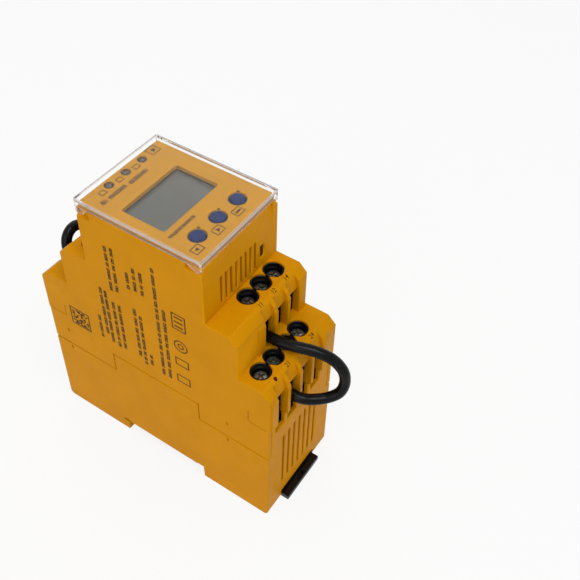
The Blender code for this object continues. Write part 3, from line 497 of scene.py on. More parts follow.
@dataclass(frozen=True)
class ClearPlastic:
    """Clear polycarbonate with hair scratches, which lets the lamps' light straight through.

    Args:
        name: The material's name.
        tint: The colour that it lets through.
        gloss: Roughness where it is clearest.
        matt: Roughness where it is haziest.
        bend: How strongly it bends and mirrors light, as an index of refraction.
        clear: The share of light that goes through its body.
        body: How solid its surface is, from 0 for none to 1.
        dust_width: The width of its hazier patches.
        hair_width: The width of its scratches.
        hair_depth: Their depth.
    """

    name: str
    tint: Colour = (0.97, 0.97, 0.96)
    gloss: float = 0.0
    matt: float = 0.02
    bend: float = 1.25
    clear: float = 1.0
    body: float = 1.0
    dust_width: float = mm(3.0)
    hair_width: float = mm(0.6)
    hair_depth: float = mm(0.002)

    def build(self) -> Material:
        """Make the material.

        Returns:
            The material.
        """
        graph = Graph(self.name)
        graph.plain(Base_Color=(*self.tint, 1.0), IOR=self.bend, Alpha=self.body,
                    Transmission_Weight=self.clear)
        dust = graph.span(graph.noise(self.dust_width, 5.0), self.gloss, self.matt)
        graph.link(dust, graph.shader, "Roughness")
        hairs = graph.noise(self.hair_width, 2.0, graph.mapped((1.0, 24.0, 1.0), 0.5))
        graph.link(graph.bump(hairs, self.hair_depth, 0.2), graph.shader, "Normal")
        through = graph.node("ShaderNodeBsdfTransparent")
        through.inputs["Color"].default_value = (*self.tint, 1.0)
        shadow = graph.node("ShaderNodeLightPath").outputs["Is Shadow Ray"]
        return graph.shared(shadow, through.outputs["BSDF"])


@dataclass(frozen=True)
class PlatedSteel:
    """Steel with a thin plating, scratched and clouded by a dull bloom.

    Args:
        name: The material's name.
        colour: The plating's colour.
        bloom: The colour that it wanders to.
        gloss: Roughness where it is brightest.
        matt: Roughness where it is dullest.
        bloom_width: The width of the bloom's clouds.
        rub_width: The width of its rubbed patches.
        scratch_width: The width of its scratches.
        scratch_depth: Their depth.
    """

    name: str
    colour: Colour = (0.35, 0.34, 0.31)
    bloom: Colour = (0.21, 0.22, 0.185)
    gloss: float = 0.24
    matt: float = 0.46
    bloom_width: float = mm(1.6)
    rub_width: float = mm(0.5)
    scratch_width: float = mm(0.25)
    scratch_depth: float = mm(0.006)

    def build(self) -> Material:
        """Make the material.

        Returns:
            The material.
        """
        graph = Graph(self.name)
        graph.plain(Metallic=1.0)
        plating = graph.ramp(graph.noise(self.bloom_width, 4.0), (0.35, self.bloom), (0.65, self.colour))
        rubbed = graph.span(graph.noise(self.rub_width, 4.0), self.gloss, self.matt)
        scratch = graph.noise(self.scratch_width, 2.0, graph.mapped((1.0, 14.0, 1.0), 0.8))
        return graph.dressed(plating, rubbed, graph.bump(scratch, self.scratch_depth, 0.5))


@dataclass(frozen=True)
class LaminatedIron:
    """Varnished core sheets, stacked along X, seen as fine lines.

    Args:
        name: The material's name.
        colour: The varnish's colour.
        sheet: The spacing of the sheets.
        step: How far one sheet stands out from the next.
        patch_width: The width of the varnish's duller patches.
    """

    name: str
    colour: Colour = (0.09, 0.085, 0.08)
    sheet: float = mm(0.5)
    step: float = mm(0.05)
    patch_width: float = mm(1.5)

    def build(self) -> Material:
        """Make the material.

        Returns:
            The material.
        """
        graph = Graph(self.name)
        graph.plain(Metallic=0.6)
        sheets = graph.bands(self.sheet, "X")
        lines = graph.ramp(sheets, (0.1, tinted(self.colour, 0.5)), (0.4, self.colour),
                           (0.9, tinted(self.colour, 1.6)))
        patches = graph.span(graph.noise(self.patch_width), 0.45, 0.65)
        return graph.dressed(lines, patches, graph.bump(sheets, self.step))


@dataclass(frozen=True)
class LacqueredBoard:
    """Circuit board: green lacquer over a mesh of tracks.

    Args:
        name: The material's name.
        lacquer: The colour over bare laminate.
        track: The colour over copper.
        mesh: The spacing of the tracks.
        track_share: A track's width, as a share of the spacing.
        relief: How far the tracks stand out.
        patch_width: The width of the lacquer's duller patches.
    """

    name: str
    lacquer: Colour = (0.012, 0.1, 0.035)
    track: Colour = (0.03, 0.19, 0.06)
    mesh: float = mm(4.0)
    track_share: float = 0.035
    relief: float = mm(0.03)
    patch_width: float = mm(2.0)

    def build(self) -> Material:
        """Make the material.

        Returns:
            The material.
        """
        graph = Graph(self.name)
        upright = graph.node("ShaderNodeMapping")
        upright.inputs["Rotation"].default_value = (math.pi / 2, 0.0, math.pi / 2)
        graph.link(graph.place, upright, "Vector")
        tracks = graph.node("ShaderNodeTexBrick", offset=0.5)
        tracks.inputs["Scale"].default_value = 1.0 / self.mesh
        tracks.inputs["Mortar Size"].default_value = self.track_share
        for target, colour in (("Color1", self.lacquer), ("Color2", tinted(self.lacquer, 1.15)),
                               ("Mortar", self.track)):
            tracks.inputs[target].default_value = (*colour, 1.0)
        graph.link(upright.outputs["Vector"], tracks, "Vector")
        patches = graph.span(graph.noise(self.patch_width), 0.3, 0.45)
        return graph.dressed(tracks.outputs["Color"], patches, graph.bump(tracks.outputs["Fac"], self.relief))


@dataclass(frozen=True)
class PrintedInk:
    """Laser-darkened or printed marks, a little uneven.

    Args:
        name: The material's name.
        colour: The mark's colour.
        ground: The colour of what it lies on.
        cover: The share of the ground that the mark hides.
        stroke: The width of its strokes in metres.
        patch_width: The width of its duller patches.
        grain: The width of its grains.
        relief: Their depth.
    """

    name: str
    colour: Colour
    ground: Colour
    cover: float = 0.95
    stroke: float = mm(0.3)
    patch_width: float = mm(1.2)
    grain: float = mm(0.12)
    relief: float = mm(0.008)

    def build(self) -> Material:
        """Make the material.

        Returns:
            The material.
        """
        graph = Graph(self.name)
        graph.plain(Specular_IOR_Level=0.08)
        edge = 0.28 + 0.44 * self.cover
        marks = graph.ramp(graph.noise(self.stroke, 1.0), (max(0.0, edge - 0.04), self.colour),
                           (min(1.0, edge + 0.04), self.ground))
        patches = graph.span(graph.noise(self.patch_width), 0.45, 0.6)
        return graph.dressed(marks, patches, graph.bump(graph.noise(self.grain), self.relief, 0.4))


@dataclass(frozen=True)
class DisplayGlass:
    """The unlit display: grey-green liquid crystal under a glossy polariser.

    Args:
        name: The material's name.
        colour: The unlit crystal's colour.
        edge: The colour that it wanders to.
        cloud_width: The width of its clouds.
        patch_width: The width of its duller patches.
        grain: The width of the polariser's grains.
        relief: Their depth.
    """

    name: str
    colour: Colour = (0.09, 0.09, 0.075)
    edge: Colour = (0.073, 0.075, 0.069)
    cloud_width: float = mm(11.0)
    patch_width: float = mm(0.2)
    grain: float = mm(0.07)
    relief: float = mm(0.002)

    def build(self) -> Material:
        """Make the material.

        Returns:
            The material.
        """
        graph = Graph(self.name)
        graph.plain(Coat_Weight=0.15, Coat_Roughness=0.05, Specular_IOR_Level=0.2)
        crystal = graph.ramp(graph.noise(self.cloud_width, 2.0), (0.3, self.edge), (0.65, self.colour))
        patches = graph.span(graph.noise(self.patch_width), 0.26, 0.4)
        return graph.dressed(crystal, patches, graph.bump(graph.noise(self.grain), self.relief, 0.3))


@dataclass(frozen=True)
class CableSheath:
    """Drawn PVC insulation: satin black and faintly rippled, with dusty scuffs.

    Args:
        name: The material's name.
        colour: The sheath's colour.
        scuff: The colour of its scuffs.
        scuff_width: The width of the scuffs.
        ripple_width: The width of its ripples.
        ripple_depth: Their depth.
        grain: The width of its grains.
        relief: Their depth.
    """

    name: str
    colour: Colour = (0.003, 0.003, 0.0035)
    scuff: Colour = (0.007, 0.0075, 0.0085)
    scuff_width: float = mm(2.2)
    ripple_width: float = mm(1.3)
    ripple_depth: float = mm(0.05)
    grain: float = mm(0.16)
    relief: float = mm(0.008)

    def build(self) -> Material:
        """Make the material.

        Returns:
            The material.
        """
        graph = Graph(self.name)
        graph.plain(Specular_IOR_Level=0.12)
        wear = graph.noise(self.scuff_width, 5.0)
        scuffed = graph.ramp(wear, (0.45, self.colour), (0.75, self.scuff))
        ripple = graph.bump(graph.noise(self.ripple_width, 1.0), self.ripple_depth, 0.3)
        skin = graph.bump(graph.noise(self.grain), self.relief, 0.3, ripple)
        return graph.dressed(scuffed, graph.span(wear, 0.08, 0.17), skin)


@dataclass(frozen=True)
class StudioFloor:
    """A pale floor that reads as white to the camera and still holds the object's shadow.

    Args:
        name: The material's name.
        colour: The floor's colour.
        lift: The share of plain white that the camera sees in it.
    """

    name: str
    colour: Colour = (0.86, 0.86, 0.86)
    lift: float = 0.85

    def build(self) -> Material:
        """Make the material.

        Returns:
            The material.
        """
        graph = Graph(self.name)
        graph.plain(Roughness=0.9, Base_Color=(*self.colour, 1.0), Specular_IOR_Level=0.1)
        white = graph.node("ShaderNodeEmission").outputs["Emission"]
        return graph.shared(graph.combined("MULTIPLY", graph.in_sight(), self.lift), white)


class Finish(Protocol):
    """What every finish can do."""

    def build(self) -> Material:
        """Make the material."""


def made_by(finish: Finish) -> Material:
    """Give the dataclass field that holds a finish's material, made when the relay is dressed."""
    return field(default_factory=finish.build)


@dataclass(frozen=True)
class Finishes:
    """Every finish on the relay, made once and shared by the pieces."""

    housing: Material = made_by(MouldedPlastic("yellow_housing", YELLOW))
    panel: Material = made_by(MouldedPlastic("yellow_panel", PANEL_YELLOW, gloss=0.4, matt=0.52,
                                             cloud=0.03, grain=mm(0.16)))
    black: Material = made_by(MouldedPlastic("black_polyamide", (0.004, 0.004, 0.0045), gloss=0.16,
                                             matt=0.3, cloud=0.2, sheen=0.22))
    key: Material = made_by(MouldedPlastic("blue_key_cap", KEY_BLUE, gloss=0.3, matt=0.42, cloud=0.08))
    lamp: Material = made_by(MouldedPlastic("lamp_lens", (0.055, 0.045, 0.045), gloss=0.12, matt=0.22,
                                            cloud=0.1, grain=mm(0.4), relief=mm(0.004), sheen=0.5))
    bezel: Material = made_by(MouldedPlastic("display_bezel", (0.03, 0.028, 0.026), gloss=0.35, cloud=0.1))
    display: Material = made_by(DisplayGlass("display_glass"))
    ghost: Material = made_by(DisplayGlass("display_segment", (0.081, 0.081, 0.067), (0.067, 0.069, 0.064)))
    cover: Material = made_by(ClearPlastic("clear_polycarbonate"))
    # The next two finishes paint a pinkish, partly opaque highlight on the cover's rounded edges and plate
    # rim, for the light that clear edges catch.
    cover_edge_highlight: Material = made_by(ClearPlastic("clear_polycarbonate_edge", (0.62, 0.53, 0.49),
                                                gloss=0.2, matt=0.3, clear=0.0, body=0.4))
    cover_rim_highlight: Material = made_by(ClearPlastic("clear_polycarbonate_rim", (0.58, 0.52, 0.48),
                                               gloss=0.25, matt=0.35, clear=0.0, body=0.8))
    ink: Material = made_by(PrintedInk("deck_numerals", BROWN_INK, YELLOW, cover=1.0))
    small_print: Material = made_by(PrintedInk("side_print", BROWN_INK, YELLOW, cover=0.7, stroke=mm(0.34)))
    panel_ink: Material = made_by(PrintedInk("panel_print", PANEL_INK, PANEL_YELLOW))
    panel_small: Material = made_by(PrintedInk("panel_small_print", PANEL_INK, PANEL_YELLOW, cover=0.6,
                                               stroke=mm(0.34)))
    red_dot: Material = made_by(PrintedInk("pole_dot", (0.08, 0.008, 0.003), YELLOW, cover=1.0))
    # This finish paints the shade at the far side of each key's hole.
    key_dot: Material = made_by(PrintedInk("key_dot", (0.01, 0.006, 0.003), (0.02, 0.01, 0.004)))
    screw: Material = made_by(PlatedSteel("zinc_screw"))
    cage: Material = made_by(PlatedSteel("zinc_cage", (0.5, 0.49, 0.44), (0.38, 0.38, 0.33),
                                         gloss=0.34, matt=0.55))
    spring: Material = made_by(PlatedSteel("spring_steel", (0.45, 0.45, 0.46), (0.33, 0.33, 0.35),
                                           gloss=0.2, matt=0.35))
    tin: Material = made_by(PlatedSteel("tinned_pin", (0.6, 0.6, 0.58), (0.5, 0.49, 0.46),
                                        gloss=0.25, matt=0.4))
    board: Material = made_by(LacqueredBoard("board_lacquer"))
    relay: Material = made_by(MouldedPlastic("relay_case", (0.02, 0.07, 0.26), gloss=0.3, matt=0.42,
                                             cloud=0.06))
    core: Material = made_by(LaminatedIron("core_sheets"))
    sleeve: Material = made_by(MouldedPlastic("capacitor_sleeve", (0.012, 0.02, 0.05), gloss=0.2,
                                              matt=0.32, cloud=0.1, grain=mm(0.5), relief=mm(0.006)))
    wire: Material = made_by(CableSheath("wire_sheath"))
    floor: Material = made_by(StudioFloor("studio_floor"))


# ---------------------------------------------------------------- shaping

def as_mesh(shape: Shape, name: str) -> Mesh:
    """Write a bmesh into a new mesh and free it.

    Args:
        shape: The bmesh.
        name: The mesh's name.

    Returns:
        The mesh.
    """
    mesh = bpy.data.meshes.new(name)
    shape.to_mesh(mesh)
    shape.free()
    return mesh


def linked(name: str, data: bpy.types.ID) -> bpy.types.Object:
    """Link data as a new object.

    Args:
        name: The object's name.
        data: Its mesh, curve, light or camera.

    Returns:
        The object.
    """
    item = bpy.data.objects.new(name, data)
    bpy.context.scene.collection.objects.link(item)
    return item


def add_box(shape: Shape, low: Sequence[float], high: Sequence[float], edge: float = 0.0,
            segments: int = 2) -> None:
    """Add a box with rounded edges.

    Args:
        shape: The bmesh that takes it.
        low: Its lowest corner.
        high: Its highest corner.
        edge: The rounding's width, or 0 for sharp edges.
        segments: The rounding's faces.
    """
    size = [high[axis] - low[axis] for axis in range(3)]
    centre = [(high[axis] + low[axis]) / 2 for axis in range(3)]
    place = Matrix.Translation(centre) @ Matrix.Diagonal((*size, 1.0))
    verts = bmesh.ops.create_cube(shape, size=1.0, matrix=place)["verts"]
    if edge > 0:
        edges = list({item for vert in verts for item in vert.link_edges})
        made = bmesh.ops.bevel(shape, geom=edges, offset=edge, segments=segments, profile=0.5,
                               affect="EDGES", material=-1)
        for face in made["faces"]:
            face.smooth = True


def spun(profile: Sequence[Pair], sides: int, closed: bool = False) -> Shape:
    """Spin a profile of (radius, height) pairs about Z into a closed solid.

    Args:
        profile: Its points, from the axis to the axis, or once round if it is closed.
        sides: How many faces go round.
        closed: Whether its last point joins its first.

    Returns:
        The solid.
    """
    shape = bmesh.new()
    verts = [shape.verts.new((radius, 0.0, height)) for radius, height in profile]
    after = verts[1:] + verts[:1] if closed else verts[1:]
    edges = [shape.edges.new(pair) for pair in zip(verts, after)]
    bmesh.ops.spin(shape, geom=verts + edges, cent=(0, 0, 0), axis=(0, 0, 1),
                   angle=math.tau, steps=sides, use_merge=True)
    bmesh.ops.remove_doubles(shape, verts=shape.verts, dist=MERGE)
    bmesh.ops.recalc_face_normals(shape, faces=shape.faces)
    return shape


def turned(profile: Sequence[Pair], sides: int) -> Shape:
    """Spin a profile into a turned solid that shades as round.

    Args:
        profile: Its (radius, height) pairs, from the axis at one end to the axis at the other.
        sides: How many faces go round.

    Returns:
        The solid.
    """
    shape = spun(profile, sides)
    for face in shape.faces:
        face.smooth = True
    return shape


def quarter_arc(centre: Pair, reach: Pair, shares: Iterable[float]) -> list[Pair]:
    """Give a profile's points on a quarter of an ellipse.

    Args:
        centre: Its centre as (radius, height).
        reach: Its half-widths along the radius and along Z.
        shares: How far each point is from its side, 0, to its top, 1.

    Returns:
        The points.
    """
    angles = [share * math.pi / 2 for share in shares]
    return [(centre[0] + reach[0] * math.cos(angle), centre[1] + reach[1] * math.sin(angle))
            for angle in angles]


def flat_dot(radius: float, sides: int) -> Shape:
    """Make a thin disc of print about Z."""
    return turned([(0.0, INK_DEPTH), (radius, INK_DEPTH), (radius, -INK_DEPTH), (0.0, -INK_DEPTH)], sides)


def flat_ring(outer: float, line: float, sides: int = 40) -> Shape:
    """Make a thin ring of print about Z, from its outer radius and the width of its line."""
    inner = outer - line
    return spun([(outer, INK_DEPTH), (outer, -INK_DEPTH), (inner, -INK_DEPTH), (inner, INK_DEPTH)],
                sides, closed=True)


def rectangle(centre: Pair, size: Pair) -> tuple[Pair, Pair]:
    """Give a rectangle's lower and higher corner from its middle and its size."""
    return ((centre[0] - size[0] / 2, centre[1] - size[1] / 2),
            (centre[0] + size[0] / 2, centre[1] + size[1] / 2))


def border(low: Pair, high: Pair, line: float) -> list[tuple[Pair, Pair]]:
    """Lay four bars round the inside of a rectangle.

    Args:
        low: The rectangle's lower corner.
        high: Its higher corner.
        line: The width of a bar.

    Returns:
        Each bar's lower and higher corner.
    """
    left, bottom = low
    right, top = high
    return [((left, top - line), (right, top)), ((left, bottom), (right, bottom + line)),
            ((left, bottom + line), (left + line, top - line)),
            ((right - line, bottom + line), (right, top - line))]


@dataclass(frozen=True)
class InkFace:
    """A flat face that takes print, as thin solids half sunk in it.

    Args:
        axis: The axis that the face looks along: 0 for X, 2 for Z.
        level: The face's place on that axis.
    """

    axis: int
    level: float

    def bar(self, shape: Shape, low: Pair, high: Pair) -> None:
        """Add a plain bar.

        Args:
            shape: The bmesh that takes it.
            low: Its lower corner on the face.
            high: Its higher corner.
        """
        corners = [list(low), list(high)]
        for corner, depth in zip(corners, (-INK_DEPTH, INK_DEPTH)):
            corner.insert(self.axis, self.level + depth)
        add_box(shape, *corners)

    def patch(self, shape: Shape, centre: Pair, size: Pair) -> None:
        """Add a plain bar by its middle and its size."""
        self.bar(shape, *rectangle(centre, size))

    def outline(self, shape: Shape, centre: Pair, size: Pair, line: float) -> None:
        """Add a plain outlined rectangle.

        Args:
            shape: The bmesh that takes it.
            centre: Its middle on the face.
            size: Its width and height.
            line: The width of its line.
        """
        for low, high in border(*rectangle(centre, size), line):
            self.bar(shape, low, high)


def crease_by_angle(mesh: Mesh, degrees: float = 38.0) -> Mesh:
    """Keep a smooth mesh's edges crisp where its faces turn by more than an angle."""
    mesh.set_sharp_from_angle(angle=math.radians(degrees))
    return mesh


def carved(mesh: Mesh, cutter: Shape) -> Mesh:
    """Cut the cutter's solids out of a mesh.

    Args:
        mesh: The closed mesh to cut.
        cutter: Closed solids that don't touch each other.

    Returns:
        The cut mesh.
    """
    target = linked("carving_target", mesh)
    tool = linked("carving_tool", as_mesh(cutter, "carving_tool"))
    change = target.modifiers.new("carve", "BOOLEAN")
    change.operation = "DIFFERENCE"
    change.solver = "EXACT"
    change.object = tool
    graph = bpy.context.evaluated_depsgraph_get()
    result = bpy.data.meshes.new_from_object(target.evaluated_get(graph))
    for item in (target, tool):
        bpy.data.objects.remove(item, do_unlink=True)
    return result


@dataclass(frozen=True)
class Rounding:
    """How a moulding's outer edges are rounded.

    Args:
        width: The rounding's width in metres.
        segments: Its faces across an edge.
        shortest: The shortest edge that is rounded.
        least: The least turn of an edge that is rounded, in radians.
        most: The most.
        spared: The corners of a box whose edges stay sharp.
        room_share: The room that it needs beside an edge, as a share of its width.
    """

    width: float
    segments: int = 3
    shortest: float = mm(1.1)
    least: float = math.radians(40)
    most: float = math.radians(125)
    spared: Optional[tuple[Triple, Triple]] = None
    room_share: float = 1.9

    def takes(self, edge: bmesh.types.BMEdge) -> bool:
        """Say whether an edge is rounded.

        Args:
            edge: The edge.

        Returns:
            True if it is long enough, isn't spared, turns as it should and has room on both sides.
        """
        if not edge.is_manifold or edge.calc_length() <= self.shortest:
            return False
        if self.spared is not None:
            middle = (edge.verts[0].co + edge.verts[1].co) / 2
            if all(low < value < high for low, value, high in zip(self.spared[0], middle, self.spared[1])):
                return False
        if not self.least < edge.calc_face_angle_signed() < self.most:
            return False
        return all(self.has_room(edge, face) for face in edge.link_faces)

    def has_room(self, edge: bmesh.types.BMEdge, face: bmesh.types.BMFace) -> bool:
        """Say whether a face is wide enough beside an edge for the rounding.

        Args:
            edge: The edge.
            face: One of its two faces.

        Returns:
            False if another edge of the face runs too close by.
        """
        room = self.width * self.room_share
        ends = [vert.co for vert in edge.verts]
        for other in face.edges:
            if other is edge or set(other.verts) & set(edge.verts):
                continue
            first, second = (vert.co for vert in other.verts)
            if min(span_to(first, *ends), span_to(second, *ends),
                   span_to(ends[0], first, second), span_to(ends[1], first, second)) < room:
                return False
        return True


def span_to(point: Vector, start: Vector, end: Vector) -> float:
    """Give the distance from a point to a stretch of line.

    Args:
        point: The point.
        start: The stretch's start.
        end: Its end.

    Returns:
        The distance.
    """
    along = end - start
    share = max(0.0, min(1.0, (point - start).dot(along) / along.length_squared))
    return (start + along * share - point).length


def is_curved(face: bmesh.types.BMFace) -> bool:
    """Say whether a face is one facet of a curved wall, by its turns to the faces beside it."""
    turns = [abs(edge.calc_face_angle(0.0)) for edge in face.edges if edge.is_manifold]
    return any(FACET_TURNS[0] < turn < FACET_TURNS[1] for turn in turns)


def rounded_copy(node: str, rounding: Rounding, corners: Optional[Rounding] = None,
                 corner_test: Optional[Callable[[Vector, Vector], bool]] = None) -> Mesh:
    """Copy a CAD node's shape, with its facets merged and its outer edges rounded.

    Args:
        node: The CAD node.
        rounding: The rounding of its edges.
        corners: A wider rounding for chosen edges, made first.
        corner_test: Says from an edge's two ends whether it is one of those.

    Returns:
        The new mesh.
    """
    shape = bmesh.new()
    shape.from_mesh(frame["nodes"][node].data)
    bmesh.ops.remove_doubles(shape, verts=shape.verts, dist=MERGE)
    bmesh.ops.dissolve_limit(shape, angle_limit=ONE_FACE_TURN, verts=shape.verts, edges=shape.edges)
    for face in shape.faces:
        face.smooth = is_curved(face)
    passes = [(rounding, lambda first, second: True)]
    if corners is not None:
        passes.insert(0, (corners, corner_test))
    done: set[bmesh.types.BMFace] = set()
    for way, wanted in passes:
        edges = [edge for edge in shape.edges if way.takes(edge)
                 and wanted(edge.verts[0].co, edge.verts[1].co) and not done.intersection(edge.link_faces)]
        if edges:
            made = bmesh.ops.bevel(shape, geom=edges, offset=way.width, offset_type="OFFSET",
                                   segments=way.segments, profile=0.5, affect="EDGES",
                                   clamp_overlap=False, loop_slide=False, material=-1)
            for face in made["faces"]:
                face.smooth = True
            done.update(made["faces"])
    wide = [face for face in shape.faces if len(face.verts) > 4]
    bmesh.ops.triangulate(shape, faces=wide, quad_method="BEAUTY", ngon_method="BEAUTY")
    bmesh.ops.dissolve_degenerate(shape, dist=MERGE / 4, edges=shape.edges)
    return as_mesh(shape, node + "_rounded")


def along_curve(name: str, points: Sequence[Vector], radius: float, resolution: int) -> bpy.types.Curve:
    """Make a round wire along points.

    Args:
        name: The curve's name.
        points: Its centreline.
        radius: The wire's radius.
        resolution: The bevel's resolution.

    Returns:
        The curve, with closed ends.
    """
    curve = bpy.data.curves.new(name, "CURVE")
    curve.dimensions = "3D"
    curve.bevel_depth = radius
    curve.bevel_resolution = resolution
    curve.use_fill_caps = True
    spline = curve.splines.new("POLY")
    spline.points.add(len(points) - 1)
    for point, place in zip(spline.points, points):
        point.co = (*place, 1.0)
        point.radius = 1.0
    spline.use_smooth = True
    return curve


def curve_mesh(curve: bpy.types.Curve) -> Mesh:
    """Turn a curve into a closed mesh and remove the curve's object.

    Args:
        curve: The curve.

    Returns:
        The mesh, smooth where its faces have four sides.
    """
    item = linked("curve_blank", curve)
    mesh = bpy.data.meshes.new_from_object(item.evaluated_get(bpy.context.evaluated_depsgraph_get()))
    bpy.data.objects.remove(item, do_unlink=True)
    shape = bmesh.new()
    shape.from_mesh(mesh)
    bmesh.ops.remove_doubles(shape, verts=shape.verts, dist=MERGE / 4)
    bmesh.ops.recalc_face_normals(shape, faces=shape.faces)
    for face in shape.faces:
        face.smooth = len(face.verts) == 4
    shape.to_mesh(mesh)
    shape.free()
    return mesh


def numeral(text: str, height: float) -> Mesh:
    """Make a numeral as a thin solid, centred on the origin and facing +Z.

    Args:
        text: Its digits.
        height: The height of a digit.

    Returns:
        Its mesh.
    """
    size_to_digit, swelling = 1.38, 0.012
    curve = bpy.data.curves.new("numeral", "FONT")
    curve.body = text
    curve.align_x = "CENTER"
    curve.align_y = "CENTER"
    curve.size = height * size_to_digit
    curve.extrude = INK_DEPTH
    curve.offset = height * swelling
    curve.resolution_u = 4
    return curve_mesh(curve)


def draped(mesh: Mesh, ground: BVHTree, level: float) -> Mesh:
    """Lay a flat print over the rounded edge of a deck.

    Args:
        mesh: The print, in its place.
        ground: The faces that it lies on.
        level: The height that it was drawn at.

    Returns:
        The same mesh, following the faces below it.
    """
    step = mm(0.1)
    start = Vector((0.0, 0.0, mm(1.0)))
    down = Vector((0.0, 0.0, -1.0))
    shape = bmesh.new()
    shape.from_mesh(mesh)
    places = [vertex.co.y for vertex in shape.verts]
    for index in range(1, math.ceil((max(places) - min(places)) / step)):
        bmesh.ops.bisect_plane(shape, geom=[*shape.verts, *shape.edges, *shape.faces], dist=MERGE,
                               plane_co=(0.0, min(places) + index * step, 0.0), plane_no=(0.0, 1.0, 0.0))
    for vertex in shape.verts:
        below = ground.ray_cast(vertex.co + start, down)[0]
        vertex.co.z += below.z - level
    shape.to_mesh(mesh)
    shape.free()
    return mesh


def smooth_path(route: Sequence[Vector], steps: int) -> list[Vector]:
    """Read points off the smooth curve that runs through a route's points.

    Args:
        route: The route's points.
        steps: How many points are read for each of its stretches.

    Returns:
        The points, ends included.
    """
    places = [route[0] * 2 - route[1], *route, route[-1] * 2 - route[-2]]
    path = []
    for before, start, end, after in zip(places, places[1:], places[2:], places[3:]):
        for step in range(steps):
            t = step / steps
            path.append(0.5 * ((2 * start) + (end - before) * t
                               + (2 * before - 5 * start + 4 * end - after) * t * t
                               + (3 * start - before - 3 * end + after) * t * t * t))
    path.append(places[-2])
    return path


def middle_of(node: str) -> Vector:
    """Give the middle of a CAD node's box."""
    low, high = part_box(node)
    return (low + high) / 2


@dataclass
class SubAssembly:
    """What every sub-assembly shares.

    Args:
        finishes: The finishes that its pieces take.
        made: The names of the pieces made so far.
    """

    finishes: Finishes
    made: list[str] = field(default_factory=list)

    def add(self, name: str, data: bpy.types.ID, finish: Material, slot: Slot,
            stands_for: Iterable[str] = (), body: str = Body.HOUSING.value) -> bpy.types.Object:
        """Turn a mesh or curve into a piece that rides on a body.

        Args:
            name: The piece's name.
            data: Its mesh or curve.
            finish: Its material.
            slot: The record's slot that its finish stands for; not used.
            stands_for: The CAD nodes that it replaces.
            body: The body that it rides on.

        Returns:
            The piece.
        """
        piece = linked(name, data)
        data.materials.clear()
        data.materials.append(finish)
        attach(piece, body)
        if stands_for:
            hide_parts(*stands_for)
        self.made.append(name)
        LOG.info("made %s", name)
        return piece

    def round_off(self, node: str, rounding: Rounding, finish: Material, slot: Slot,
                  body: str = Body.HOUSING.value) -> bpy.types.Object:
        """Replace a CAD node by its own shape with rounded edges."""
        return self.add(node + "_fine", rounded_copy(node, rounding), finish, slot, [node], body)


# ---------------------------------------------------------------- the housing and its print

POLE_NUMBERS: dict[End, tuple[tuple[str, ...], tuple[str, ...]]] = {
    End.OUTPUT: (("21", "22", "24"), ("11", "12", "14")),
    End.SUPPLY: (("2", "3", "4"), ("5", "6", "7")),
}


